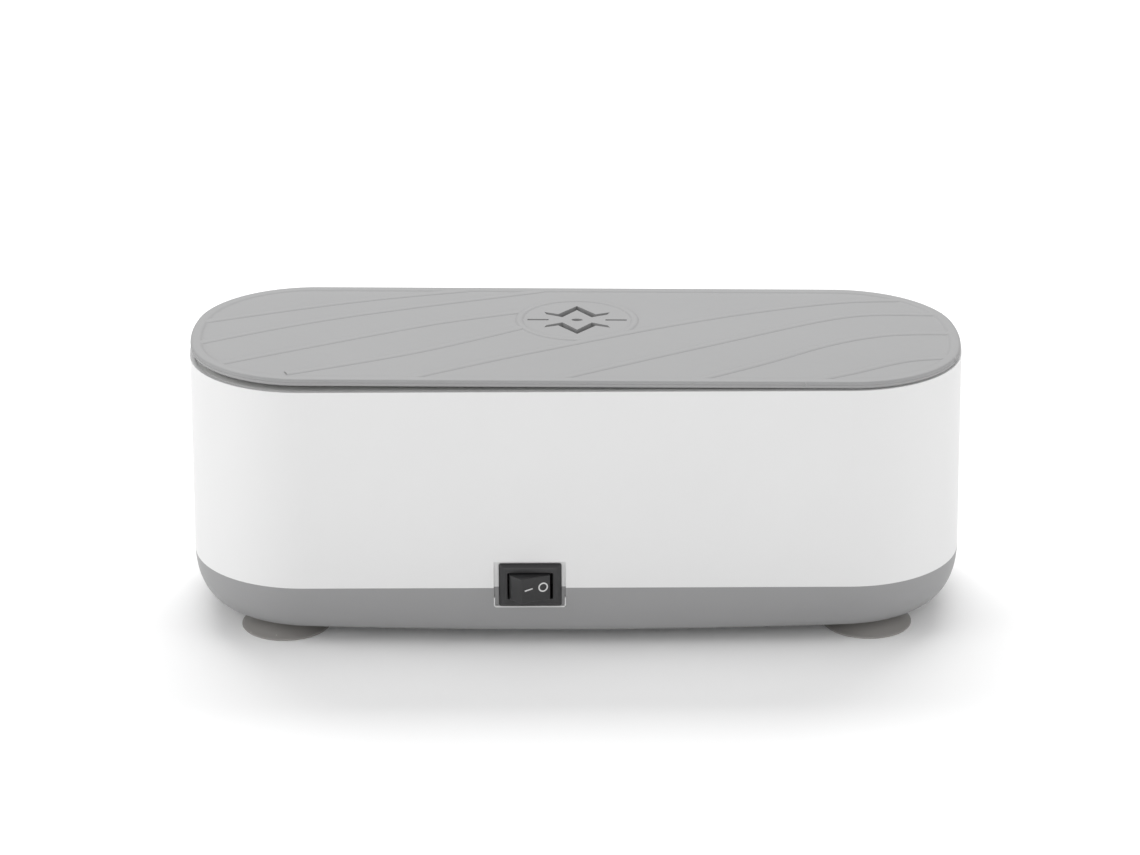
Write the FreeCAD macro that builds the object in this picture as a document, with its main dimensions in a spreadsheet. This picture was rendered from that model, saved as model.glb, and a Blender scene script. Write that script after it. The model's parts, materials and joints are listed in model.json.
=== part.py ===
"""Battery ultrasonic cleaner: a long rounded tub, a grey base, a lift-off lid, a rocker switch.

Millimetres. X runs along the tub, -Y is the front with the switch, Z is up. The origin is on the
surface that the suction feet stand on, under the middle of the tub.
"""
import FreeCAD, Part
import math
import os
import Sketcher

from FreeCAD import Placement, Rotation, Vector

# A text value that starts with = is a sheet formula, which ties a size to others.
DIMENSIONS = {
    # outer case
    "seam_half_length": 94.4, "seam_half_depth": 34.55,
    "rim_half_length": "=seam_half_length - 0.9", "rim_half_depth": "=seam_half_depth - 0.85",
    "corner_radius": 28.5, "end_radius": 60.5,
    "base_level": 4.0, "seam_level": 16.2, "rim_level": 65.9,
    "wall": 2.0, "base_floor": 2.4,
    # base hull under the seam
    "hull_end_inset": 7.9, "hull_side_inset": 2.9,
    "hull_corner_radius_low": 23.4, "hull_end_radius_low": 600.0,
    "hull_side_radius_low": 720.0, "straight_radius": 100000.0,
    # joints between the case pieces
    "lip_height": 2.4, "lip_thick": 1.3, "lip_gap": 0.15,
    "rebate_inset": 1.1, "ledge_inset": 4.4, "ledge_thick": 2.2,
    "flange_thick": 1.0, "flange_gap": 0.15, "gasket_thick": 0.6,
    # batteries
    "cell_radius": 7.25, "cell_length": 49.0, "cell_nub_radius": 2.75, "cell_nub": 1.5,
    "cell_pitch": "=2 * cell_radius + 1", "cell_axis_level": "=cell_radius + 6.75",
    "spring_radius": 3.8, "spring_wire": 0.7,
    "bay_left": -58.0, "bay_length": "=cell_length + 11",
    "bay_half_depth": "=cell_pitch / 2 + cell_radius + 1.5", "bay_wall": 1.5,
    "bay_top": "=cell_axis_level + cell_radius + 0.65", "contact_thick": 0.4, "contact_play": 0.05,
    "contact_half_width": 5.0,
    "door_left": "=bay_left - 1.4", "door_right": "=bay_left + bay_length + 11",
    "door_half_depth": "=bay_half_depth + 1.5", "door_thick": 1.6,
    "door_gap": 0.25, "tab_half_width": 1.5, "tab_top": "=bay_top + 3.5",
    # tank
    "tank_gap": 0.5, "tank_wall": 1.4,
    "tank_floor_level": "=cell_axis_level + cell_radius + 6.75", "tank_draft_inset": 4.0,
    "tank_bottom_radius": 4.0,
    # lid
    "lid_inset": 0.25, "lid_plate": 1.35, "lid_relief": 0.4, "lid_band": 2.7,
    "lid_skirt_gap": 0.7, "lid_skirt_thick": 1.5, "lid_skirt_depth": 3.2,
    "lid_rib_width": 1.8, "lid_tilt": 0.52, "lid_seat_gap": 0.1,
    "ring_outer": 15.15, "ring_inner": 13.25, "ring_x": 0.35, "ring_y": 10.3,
    "vent_slot": 1.5, "vent_reach": 7.6, "vent_rise": 7.4, "vent_hole": 1.4,
    # switch
    "switch_x": -11.1, "switch_z": 16.85, "switch_face": "=seam_half_depth - 0.8",
    "pocket_margin_left": 1.2, "pocket_margin_right": 1.0, "pocket_margin_low": 0.35,
    "pocket_margin_high": 0.5,
    "bezel_length": 15.0, "bezel_height": 10.95, "bezel_thick": 1.35, "bezel_bevel": 0.75,
    "window_length": "=bezel_length - 4.25", "window_height": 6.65, "switch_wall": 1.0,
    "switch_depth": 8.2,
    "switch_gap": 0.15, "rocker_radius": "=window_length / 2 - 0.225", "rocker_gap": 0.18,
    "rocker_depth": 1.2,
    "rocker_peak_x": "=rocker_radius - 1.5", "rocker_peak": "=rocker_radius - 1.55",
    "rocker_valley": "=rocker_peak - 0.3", "rocker_shoulder": 0.3,
    "rocker_tilt": 22.0, "pivot_depth": 0.05, "trunnion_radius": 0.8, "trunnion_length": 0.7,
    "fit": 0.05,
    "stem_radius": 1.3, "stem_length": 3.4, "plunger_radius": 0.8, "plunger_reach": 5.4,
    "strip_length": "=window_length - 2.15", "strip_height": 2.4, "strip_thick": 0.3,
    "strip_pivot": 5.9,
    "strip_tilt": 8.0, "terminal_thick": 0.8, "terminal_height": 2.8, "terminal_out": 4.6,
    "load_offset": "=window_length / 2 - 1.475",
    # motor
    "motor_left": 31.0, "motor_length": 20.0, "motor_radius": 10.0,
    "motor_flat": "=0.75 * motor_radius",
    "motor_wall": 0.8, "motor_cap": 3.0, "motor_pad": 0.5, "motor_boss_radius": 3.0,
    "motor_boss": 1.6, "shaft_radius": 1.0, "shaft_out": 11.0,
    "rotor_radius": "=motor_radius - 4.1",
    "weight_radius": "=motor_radius - 3.6", "weight_length": 5.0,
    "clamp_width": 8.0, "clamp_thick": 1.0, "clamp_ear": 7.5, "clamp_ear_level": 23.0,
    "motor_boss_post": 3.2,
    # screws, feet
    "screw_x": 50.0, "screw_y": "=bay_half_depth + bay_wall + 5.4", "screw_shank": 1.3,
    "screw_head": 2.6,
    "screw_head_height": 1.8, "post_radius": 3.2,
    "foot_x": "=seam_half_length - 23.4", "foot_y": "=seam_half_depth - 16.05",
    "foot_radius": 10.95, "foot_rim": 0.5,
    "foot_neck": 2.0, "foot_head": 3.3, "foot_head_height": 1.6,
    "lead_radius": 0.6,
}

doc = FreeCAD.newDocument("ultrasonic_cleaner")
sheet = doc.addObject("Spreadsheet::Sheet", "dims")
for row, (alias, value) in enumerate(DIMENSIONS.items(), start=1):
    sheet.set(f"A{row}", alias)
    sheet.set(f"B{row}", str(value))
    sheet.setAlias(f"B{row}", alias)
doc.recompute()

NODES = []


def dim(name):
    """The sheet's present value of one named size."""
    return float(getattr(sheet, name))


def node(part, label):
    """Registers an object as a sub-part that is written to its own file."""
    part.Label = label
    NODES.append(part)
    return part


def bind(part, **texts):
    """Ties properties to the sheet; a double underscore stands for a dot."""
    for name, text in texts.items():
        part.setExpression(name.replace("__", "."), text)
    return part


def place(part, *texts):
    """Ties an object's position to three expressions."""
    for axis, text in zip("xyz", texts):
        part.setExpression("Placement.Base." + axis, text)
    return part


def box(name, corner, size):
    part = doc.addObject("Part::Box", name)
    for prop, text in zip(("Length", "Width", "Height"), size):
        part.setExpression(prop, text)
    return place(part, *corner)


AXIS_TURN = {
    "X": Rotation(Vector(0, 1, 0), 90),
    "Y": Rotation(Vector(1, 0, 0), -90),
    "Z": Rotation(),
    "-Z": Rotation(Vector(1, 0, 0), 180),
}


def cylinder(name, foot, radius, height, axis="Z"):
    part = doc.addObject("Part::Cylinder", name)
    part.Placement = Placement(Vector(), AXIS_TURN[axis])
    bind(part, Radius=radius, Height=height)
    return place(part, *foot)


def cut(name, base, *tools):
    part = doc.addObject("Part::Cut", name)
    part.Base = base
    part.Tool = tools[0] if len(tools) == 1 else fuse(name + "_tools", *tools)
    return part


def fuse(name, *parts):
    part = doc.addObject("Part::MultiFuse", name)
    part.Shapes = list(parts)
    return part


def common(name, base, tool):
    part = doc.addObject("Part::Common", name)
    part.Base = base
    part.Tool = tool
    return part


# ---------------------------------------------------------------- sketches and bodies

def new_body(name):
    return doc.addObject("PartDesign::Body", name)


def sketch_on(body, name, role="XY_Plane", offset="0"):
    """An empty sketch on one of the body's own origin planes, moved along the plane's normal."""
    plane = next(item for item in body.Origin.OriginFeatures if item.Role == role)
    sketch = body.newObject("Sketcher::SketchObject", name)
    sketch.AttachmentSupport = [(plane, "")]
    sketch.MapMode = "FlatFace"
    sketch.setExpression("AttachmentOffset.Base.z", offset)
    return sketch


def constrain(sketch, name, kind, *references, text):
    """Adds a driving constraint bound to an expression."""
    index = sketch.addConstraint(Sketcher.Constraint(kind, *references))
    sketch.renameConstraint(index, name)
    sketch.setExpression("Constraints." + name, text)


def oval_sketch(sketch, half_length, half_depth, inset="0"):
    """A long oval: two straight sides, four corner arcs and two flatter end arcs, all tangent."""
    a = value_of(half_length) - value_of(inset)
    b = value_of(half_depth) - value_of(inset)
    rc = dim("corner_radius") - value_of(inset)
    re = dim("end_radius") - value_of(inset)
    end_x = a - re
    corner_x = end_x + math.sqrt((re - rc) ** 2 - (b - rc) ** 2)
    corner_y = b - rc
    turn = math.atan2(corner_y, corner_x - end_x)
    up, along = Vector(0, 0, 1), math.pi
    sketch.addGeometry([
        Part.LineSegment(Vector(corner_x, b, 0), Vector(-corner_x, b, 0)),
        Part.ArcOfCircle(Part.Circle(Vector(-corner_x, corner_y, 0), up, rc),
                         along / 2, along - turn),
        Part.ArcOfCircle(Part.Circle(Vector(-end_x, 0, 0), up, re), along - turn, along + turn),
        Part.ArcOfCircle(Part.Circle(Vector(-corner_x, -corner_y, 0), up, rc),
                         along + turn, 1.5 * along),
        Part.LineSegment(Vector(-corner_x, -b, 0), Vector(corner_x, -b, 0)),
        Part.ArcOfCircle(Part.Circle(Vector(corner_x, -corner_y, 0), up, rc),
                         1.5 * along, 2 * along - turn),
        Part.ArcOfCircle(Part.Circle(Vector(end_x, 0, 0), up, re), -turn, turn),
        Part.ArcOfCircle(Part.Circle(Vector(corner_x, corner_y, 0), up, rc), turn, along / 2),
    ], False)
    for index in range(8):
        sketch.addConstraint(Sketcher.Constraint("Tangent", index, 2, (index + 1) % 8, 1))
    sketch.addConstraint(Sketcher.Constraint("Horizontal", 0))
    sketch.addConstraint(Sketcher.Constraint("Horizontal", 4))
    constrain(sketch, "back", "DistanceY", -1, 1, 0, 1, b, text=f"({half_depth}) - ({inset})")
    constrain(sketch, "front", "DistanceY", 4, 1, -1, 1, b, text=f"({half_depth}) - ({inset})")
    for index in (1, 3, 5, 7):
        constrain(sketch, f"corner_{index}", "Radius", index, rc,
                  text=f"dims.corner_radius - ({inset})")
    for index in (2, 6):
        constrain(sketch, f"end_{index}", "Radius", index, re,
                  text=f"dims.end_radius - ({inset})")
        sketch.addConstraint(Sketcher.Constraint("PointOnObject", index, 3, -1))
    reach = f"({half_length}) - dims.end_radius"
    constrain(sketch, "right_centre", "DistanceX", -1, 1, 6, 3, end_x, text=reach)
    constrain(sketch, "left_centre", "DistanceX", 2, 3, -1, 1, end_x, text=reach)
    return sketch


def value_of(text):
    """Evaluates a sheet expression in code, for a sketch's starting geometry."""
    return float(sheet.evalExpression(text.replace("dims.", "")))


def case_size(kind, level):
    """Expression of the drafted case's half length or half depth at a level."""
    share = f"(({level}) - dims.seam_level) / (dims.rim_level - dims.seam_level)"
    return f"dims.seam_{kind} + (dims.rim_{kind} - dims.seam_{kind}) * {share}"


def oval_loft(body, kind, name, sections):
    """A lofted feature through ovals, each given by its level and its inset from the case."""
    sketches = []
    for index, (level, inset) in enumerate(sections):
        sketch = sketch_on(body, f"{name}_{index}", "XY_Plane", level)
        sketches.append(oval_sketch(sketch, case_size("half_length", level),
                                    case_size("half_depth", level), inset))
    doc.recompute()
    loft = body.newObject(kind, name)
    loft.Profile = sketches[0]
    loft.Sections = sketches[1:]
    loft.Ruled = True
    doc.recompute()
    return loft


def oval_block(name, sections):
    """An oval block of its own, used where a boolean needs one."""
    body = new_body(name)
    oval_loft(body, "PartDesign::AdditiveLoft", name + "_loft", sections)
    return body


def straight_oval(name, low, high, inset):
    return oval_block(name, [(low, inset), (high, inset)])


def rounded_foot(low, inset_low, top, inset_top, radius):
    """Sections of a tapered block whose lowest edge is rounded in short steps."""
    sections = []
    for angle in (0, 30, 60, 90):
        drop = 1 - math.cos(math.radians(angle))
        inward = 1 - math.sin(math.radians(angle))
        sections.append((f"{low} + ({radius}) * {drop:.4f}",
                         f"{inset_low} + ({radius}) * {inward:.4f}"))
    return sections + [(top, inset_top)]


def polygon_sketch(sketch, points):
    """A closed outline of straight lines; each corner's two distances are bound to the sheet."""
    count = len(points)
    corners = [Vector(value_of(x), value_of(y), 0) for x, y in points]
    sketch.addGeometry([Part.LineSegment(corners[i], corners[(i + 1) % count])
                        for i in range(count)], False)
    for index in range(count):
        sketch.addConstraint(Sketcher.Constraint("Coincident", index, 2, (index + 1) % count, 1))
    for index, (x, y) in enumerate(points):
        spot = corners[index]
        constrain(sketch, f"x{index}", "DistanceX", -1, 1, index, 1, spot.x, text=x)
        constrain(sketch, f"y{index}", "DistanceY", -1, 1, index, 1, spot.y, text=y)
    return sketch


def turned(name, points, place_at, axis="Z"):
    """A body of revolution from a half profile of radius and height."""
    body = new_body(name)
    sketch = polygon_sketch(sketch_on(body, name + "_profile", "XZ_Plane"), points)
    doc.recompute()
    turn = body.newObject("PartDesign::Revolution", name + "_turn")
    turn.Profile = sketch
    turn.ReferenceAxis = (sketch, ["V_Axis"])
    turn.Angle = 360.0
    body.Placement = Placement(Vector(), AXIS_TURN[axis])
    return place(body, *place_at)


# ---------------------------------------------------------------- case

def hull_wire(level, inset):
    """The base hull's outline at a level: bowed sides, corner arcs and flatter ends, all tangent."""
    share = (dim("seam_level") - level) / (dim("seam_level") - dim("base_level"))
    bulge = 1 - math.sqrt(max(0.0, 1 - share * share))

    def blend(high, low):
        return high + (low - high) * bulge

    length = dim("seam_half_length") - dim("hull_end_inset") * bulge
    depth = dim("seam_half_depth") - dim("hull_side_inset") * bulge
    corner = blend(dim("corner_radius"), dim("hull_corner_radius_low"))
    end = 1 / blend(1 / dim("end_radius"), 1 / dim("hull_end_radius_low"))
    side = 1 / blend(1 / dim("straight_radius"), 1 / dim("hull_side_radius_low"))
    side_centre = Vector(0, depth - side, 0)
    end_centre = Vector(length - end, 0, 0)
    to_side, to_end = side - corner, end - corner
    gap = end_centre - side_centre
    span = gap.Length
    along = (span * span + to_side * to_side - to_end * to_end) / (2 * span)
    across = math.sqrt(to_side * to_side - along * along)
    unit = gap / span
    corner_centre = side_centre + unit * along + Vector(unit.y, -unit.x, 0) * across
    to_corner = corner_centre - side_centre
    side_turn = math.atan2(to_corner.y, to_corner.x)
    to_corner = corner_centre - end_centre
    end_turn = math.atan2(to_corner.y, to_corner.x)

    def arc(centre, radius, start, stop):
        circle = Part.Circle(Vector(centre.x, centre.y, level), Vector(0, 0, 1), radius - inset)
        return Part.ArcOfCircle(circle, start, stop).toShape()

    half, full = math.pi, 2 * math.pi
    flip_x = Vector(-corner_centre.x, corner_centre.y, 0)
    flip_y = Vector(corner_centre.x, -corner_centre.y, 0)
    flip_both = Vector(-corner_centre.x, -corner_centre.y, 0)
    return Part.Wire([
        arc(corner_centre, corner, end_turn, side_turn),
        arc(side_centre, side, side_turn, half - side_turn),
        arc(flip_x, corner, half - side_turn, half - end_turn),
        arc(-end_centre, end, half - end_turn, half + end_turn),
        arc(flip_both, corner, half + end_turn, half + side_turn),
        arc(-side_centre, side, half + side_turn, full - side_turn),
        arc(flip_y, corner, full - side_turn, full - end_turn),
        arc(end_centre, end, -end_turn, end_turn),
    ])


def hull_solid(name, low, inset):
    """A smooth closed hull from a level up to the seam."""
    part = doc.addObject("Part::Feature", name)
    rise = dim("seam_level") - low
    levels = [low + rise * step for step in (0.0, 0.03, 0.09, 0.2, 0.36, 0.6, 1.0)]
    part.Shape = Part.makeLoft([hull_wire(level, inset) for level in levels], True, False)
    return part


def switch_opening(name):
    """The slot for the switch housing and the shallow pocket round its bezel."""
    hole = box(name + "_hole",
               ("dims.switch_x - dims.window_length / 2 - dims.switch_wall - dims.switch_gap",
                "-dims.seam_half_depth - dims.wall",
                "dims.switch_z - dims.window_height / 2 - dims.switch_wall - dims.switch_gap"),
               ("dims.window_length + 2 * (dims.switch_wall + dims.switch_gap)",
                "dims.wall * 4",
                "dims.window_height + 2 * (dims.switch_wall + dims.switch_gap)"))
    pocket = box(name + "_pocket",
                 ("dims.switch_x - dims.bezel_length / 2 - dims.pocket_margin_left",
                  "-dims.seam_half_depth - dims.wall",
                  "dims.switch_z - dims.bezel_height / 2 - dims.pocket_margin_low"),
                 ("dims.bezel_length + dims.pocket_margin_left + dims.pocket_margin_right",
                  "dims.wall + dims.seam_half_depth - dims.switch_face",
                  "dims.bezel_height + dims.pocket_margin_low + dims.pocket_margin_high"))
    return fuse(name, hole, pocket)


def corner_signs():
    return [(side, face) for side in (-1, 1) for face in (-1, 1)]


def base_shell():
    outer = hull_solid("base_hull", dim("base_level"), 0.0)
    inner = hull_solid("base_hollow", dim("base_level") + dim("base_floor"), dim("wall"))
    shell = cut("base_tray", outer, inner)
    lip = new_body("lip")
    lip_foot, lip_step = "dims.seam_level - dims.wall", "dims.seam_level - 0.3"
    lip_top = "dims.seam_level + dims.lip_height"
    lip_inset = "dims.wall + dims.lip_gap"
    for name, kind, low, high, inset in (
            ("lip_foot", "Additive", lip_foot, lip_step, "dims.wall / 2"),
            ("lip_wall", "Additive", lip_step, lip_top, lip_inset),
            ("lip_hollow", "Subtractive", lip_foot, lip_top, lip_inset + " + dims.lip_thick")):
        oval_loft(lip, f"PartDesign::{kind}Loft", name, [(low, inset), (high, inset)])
    bay = box("bay_block",
              ("dims.bay_left - dims.bay_wall", "-dims.bay_half_depth - dims.bay_wall",
               "dims.base_level"),
              ("dims.bay_length + 2 * dims.bay_wall",
               "2 * (dims.bay_half_depth + dims.bay_wall)",
               "dims.bay_top + dims.bay_wall - dims.base_level"))
    hollow = box("bay_hollow",
                 ("dims.bay_left", "-dims.bay_half_depth", "dims.base_level - 1"),
                 ("dims.bay_length", "2 * dims.bay_half_depth",
                  "dims.bay_top - dims.base_level + 1"))
    rebate = box("door_rebate",
                 ("dims.door_left - dims.door_gap", "-dims.door_half_depth - dims.door_gap",
                  "dims.base_level - 1"),
                 ("dims.door_right - dims.door_left + 2 * dims.door_gap",
                  "2 * (dims.door_half_depth + dims.door_gap)", "dims.door_thick + 1.1"))
    solids = [shell, lip, bay]
    holes = [hollow, rebate, switch_opening("base_switch")]
    door_post = cylinder("door_post", ("(dims.bay_left + dims.bay_length + dims.bay_wall"
                                       " + dims.door_right) / 2", "0", "dims.base_level"),
                         "dims.post_radius", "dims.seam_level - dims.base_level")
    door_bore = cylinder("door_bore", ("(dims.bay_left + dims.bay_length + dims.bay_wall"
                                       " + dims.door_right) / 2", "0", "dims.base_level - 1"),
                         "dims.screw_shank + dims.fit", "dims.seam_level - dims.base_level - 1")
    solids.append(door_post)
    holes.append(door_bore)
    for index, face in enumerate((-1, 1)):
        holes.append(box(f"tab_slot_{index}",
                         ("dims.bay_left + dims.bay_length - dims.contact_thick - 0.1",
                          f"{face} * dims.cell_pitch / 2 - dims.tab_half_width - 0.2",
                          "dims.bay_top - 1"),
                         ("dims.contact_thick + 0.1", "2 * dims.tab_half_width + 0.4",
                          "dims.bay_wall + 2")))
    for index, (side, face) in enumerate(corner_signs()):
        spot = (f"{side} * dims.screw_x", f"{face} * dims.screw_y")
        solids.append(cylinder(f"screw_cup_{index}", (*spot, "dims.base_level + 0.5"),
                               "dims.post_radius + 1", "dims.base_floor + 2.4"))
        holes.append(cylinder(f"screw_sink_{index}", (*spot, "dims.base_level - 1"),
                              "dims.screw_head + 0.3", "dims.screw_head_height + 1.6"))
        holes.append(cylinder(f"screw_way_{index}", (*spot, "dims.base_level - 1"),
                              "dims.screw_shank + 0.3", "dims.base_floor + 6"))
        holes.append(cylinder(f"foot_hole_{index}",
                              (f"{side} * dims.foot_x", f"{face} * dims.foot_y",
                               "dims.base_level - 1"),
                              "dims.foot_neck + dims.fit", "dims.base_floor + 2"))
    return node(cut("base_shell_cut", fuse("base_solids", *solids), *holes), "base_shell")


def body_shell():
    body = new_body("case")
    gasket_seat = "dims.rim_level - dims.flange_thick - dims.gasket_thick"
    ledge_foot = gasket_seat + " - dims.ledge_thick"
    cuts = (("case_hollow", "dims.seam_level", ledge_foot, "dims.wall"),
            ("case_mouth", ledge_foot, "dims.rim_level", "dims.ledge_inset"),
            ("case_rebate", gasket_seat, "dims.rim_level", "dims.rebate_inset"))
    oval_loft(body, "PartDesign::AdditiveLoft", "case_outer",
              [("dims.seam_level", "0"), ("dims.rim_level", "0")])
    for name, low, high, inset in cuts:
        oval_loft(body, "PartDesign::SubtractiveLoft", name, [(low, inset), (high, inset)])
    solids, holes = [body], [switch_opening("case_switch")]
    for index, (side, face) in enumerate(corner_signs()):
        spot = (f"{side} * dims.screw_x", f"{face} * dims.screw_y")
        solids.append(cylinder(f"case_post_{index}",
                               (*spot, "dims.base_level + dims.base_floor + 3.0"),
                               "dims.post_radius", "dims.seam_level"))
        solids.append(box(f"case_web_{index}",
                          (f"{side} * dims.screw_x - dims.bay_wall / 2",
                           f"{face} * (dims.screw_y + dims.seam_half_depth - 1) / 2"
                           " - (dims.seam_half_depth - 1 - dims.screw_y) / 2",
                           "dims.seam_level + dims.lip_height + 0.3"),
                          ("dims.bay_wall", "dims.seam_half_depth - 1 - dims.screw_y",
                           "dims.base_level + dims.base_floor - dims.lip_height + 2.7")))
        holes.append(cylinder(f"case_bore_{index}", (*spot, "dims.base_level"),
                              "dims.screw_shank + dims.fit", "dims.seam_level - 1.5"))
    return node(cut("body_shell_cut", fuse("case_solids", *solids), *holes), "body_shell")


def tank():
    body = new_body("basin")
    top = "dims.rim_level - dims.flange_thick"
    low = "dims.tank_floor_level"
    inset = "dims.ledge_inset + dims.tank_gap"
    inset_low = f"{inset} + dims.tank_draft_inset"
    oval_loft(body, "PartDesign::AdditiveLoft", "basin_outer",
              rounded_foot(low, inset_low, top, inset, "dims.tank_bottom_radius"))
    flange_inset = "dims.rebate_inset + dims.flange_gap"
    oval_loft(body, "PartDesign::AdditiveLoft", "basin_flange",
              [(top, flange_inset), ("dims.rim_level", flange_inset)])
    inner = oval_block("basin_hollow",
                       rounded_foot(f"{low} + dims.tank_wall", f"{inset_low} + dims.tank_wall",
                                    "dims.rim_level + 1", f"{inset} + dims.tank_wall",
                                    "dims.tank_bottom_radius - dims.tank_wall"))
    solids, holes = [body], [inner]
    for index, face in enumerate((-1, 1)):
        spot = (f"dims.motor_left + dims.motor_length / 2",
                f"{face} * (dims.motor_radius + dims.clamp_ear / 2 + 0.6)")
        solids.append(cylinder(f"clamp_post_{index}",
                               (*spot, "dims.clamp_ear_level + dims.clamp_thick"),
                               "dims.motor_boss_post",
                               f"{low} - dims.clamp_ear_level - dims.clamp_thick + 0.5"))
        holes.append(cylinder(f"clamp_bore_{index}", (*spot, "dims.clamp_ear_level"),
                              "dims.screw_shank + dims.fit", f"{low} - dims.clamp_ear_level - 0.5"))
    return node(cut("tank_cut", fuse("tank_solids", *solids), *holes), "tank")


def tank_gasket():
    level = "dims.rim_level - dims.flange_thick - dims.gasket_thick"
    outer = straight_oval("gasket_outer", level, "dims.rim_level - dims.flange_thick",
                          "dims.rebate_inset + dims.flange_gap")
    inner = straight_oval("gasket_inner", level + " - 1", "dims.rim_level",
                          "dims.ledge_inset - 0.2")
    return node(cut("gasket_cut", outer, inner), "tank_gasket")


# ---------------------------------------------------------------- lid

RIBS = (
    ((-90.0, 8.1), (-66.0, 19.1), (-40.0, 31.0)),
    ((-88.6, -6.2), (-64.0, 8.8), (-24.0, 27.5)),
    ((-80.3, -19.2), (-61.1, -8.0), (-12.5, 19.5)),
    ((-62.9, -26.2), (-37.5, -12.8), (-12.0, 4.6)),
    ((-33.8, -29.4), (12.6, 1.1), (91.0, 26.8)),
    ((-3.0, -30.5), (34.8, -5.5), (91.0, 15.6)),
    ((29.0, -32.0), (57.2, -9.2), (91.1, 2.4)),
    ((56.0, -33.0), (71.0, -22.2), (91.0, -15.4)),
)


def rib_strip(ends, low, high):
    """A curved strip of the rib width, between two levels, through three plan points."""
    points = [Vector(x, y, low) for x, y in ends]
    centre = Part.Arc(*points).toShape().Curve.Center
    half = dim("lid_rib_width") / 2
    sides = []
    for shift in (-half, half):
        moved = []
        for point in points:
            outward = (point - centre).normalize()
            moved.append(point + outward * shift)
        sides.append(Part.Arc(*moved))
    first, second = sides
    wire = Part.Wire([
        first.toShape(),
        Part.LineSegment(first.EndPoint, second.EndPoint).toShape(),
        second.toShape(),
        Part.LineSegment(second.StartPoint, first.StartPoint).toShape(),
    ])
    return Part.Face(wire).extrude(Vector(0, 0, high - low))


def slanted_slot(name, start, end, width, low, high):
    """A straight slot-shaped block between two plan points."""
    part = doc.addObject("Part::Feature", name)
    along = Vector(end[0] - start[0], end[1] - start[1], 0)
    block = Part.makeBox(along.Length + width, width, high - low,
                         Vector(-width / 2, -width / 2, low))
    part.Shape = block
    turn = math.degrees(math.atan2(along.y, along.x))
    part.Placement = Placement(Vector(start[0], start[1], 0), Rotation(Vector(0, 0, 1), turn))
    return part


def lid():
    seat = "dims.rim_level + dims.lid_seat_gap"
    plate_top = f"{seat} + dims.lid_plate"
    top = f"{plate_top} + dims.lid_relief"
    plate = straight_oval("lid_plate_block", seat, plate_top, "dims.lid_inset")
    band = cut("lid_border",
               straight_oval("lid_border_outer", plate_top, top, "dims.lid_inset"),
               straight_oval("lid_border_inner", plate_top + " - 1", top + " + 1",
                             "dims.lid_inset + dims.lid_band"))
    skirt_inset = ("dims.ledge_inset + dims.tank_gap + dims.tank_wall + dims.lid_skirt_gap"
                   " + 0.35")
    skirt = cut("lid_skirt",
                straight_oval("lid_skirt_outer", f"{seat} - dims.lid_skirt_depth", seat,
                              skirt_inset),
                straight_oval("lid_skirt_inner", f"{seat} - dims.lid_skirt_depth - 1",
                              seat + " - 0", skirt_inset + " + dims.lid_skirt_thick"))
    ribs = doc.addObject("Part::Feature", "lid_ribs")
    low, high = value_of(plate_top) - 0.2, value_of(top)
    strips = [rib_strip(ends, low, high) for ends in RIBS]
    ribs.Shape = strips[0].multiFuse(strips[1:])
    ring_spot = ("dims.ring_x", "dims.ring_y")
    ring_hole = cylinder("ring_hole", (*ring_spot, plate_top), "dims.ring_inner", "1")
    ring = cylinder("ring_disc", (*ring_spot, plate_top), "dims.ring_outer", "dims.lid_relief")
    rib_field = common("rib_field", ribs,
                       straight_oval("rib_limit", plate_top + " - 0.2", top + " + 1",
                                     "dims.lid_inset + dims.lid_band / 2"))
    solid = fuse("lid_solids", plate, band, skirt, rib_field, ring)
    whole = cut("lid_cut", solid, ring_hole, *vent_slots(value_of(seat) - 1, high + 1))
    half = value_of("dims.rim_half_length - dims.lid_inset")
    tilt = Rotation(Vector(0, 1, 0), dim("lid_tilt"))
    hinge_line = Vector(half, 0, dim("rim_level") + dim("lid_seat_gap"))
    whole.Placement = Placement(hinge_line - tilt.multVec(hinge_line), tilt)
    return node(whole, "lid")


def vent_slots(low, high):
    """A sparkle of straight slots inside the ring: two chevrons, two dashes and a centre hole."""
    cx, cy = dim("ring_x"), dim("ring_y")
    reach, rise, width = dim("vent_reach"), dim("vent_rise"), dim("vent_slot")
    slots = []
    for index, up in enumerate((1, -1)):
        apex = (cx, cy + up * (rise + 2.2))
        for side in (-1, 1):
            foot = (cx + side * reach * 0.5, cy + up * 3.1)
            tip = (cx + side * reach, cy + up * 4.6)
            slots.append(slanted_slot(f"vent_{index}_{side + 1}_arm", apex, foot, width, low, high))
            slots.append(slanted_slot(f"vent_{index}_{side + 1}_leg", foot, tip, width, low, high))
    for side in (-1, 1):
        slots.append(slanted_slot(f"vent_dash_{side + 1}", (cx + side * (reach - 0.2), cy),
                                  (cx + side * (reach + 4.0), cy), width * 0.6, low, high))
    slots.append(cylinder("vent_centre", (str(cx), str(cy), str(low)), "dims.vent_hole",
                          str(high - low)))
    return slots


# ---------------------------------------------------------------- switch

def switch_frame(outward="0"):
    """Expressions of the rocker's pivot: its X, and a Y that lies outward from the pivot line."""
    return ("dims.switch_x", f"-dims.switch_face - dims.pivot_depth - ({outward})",
            "dims.switch_z")


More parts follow.
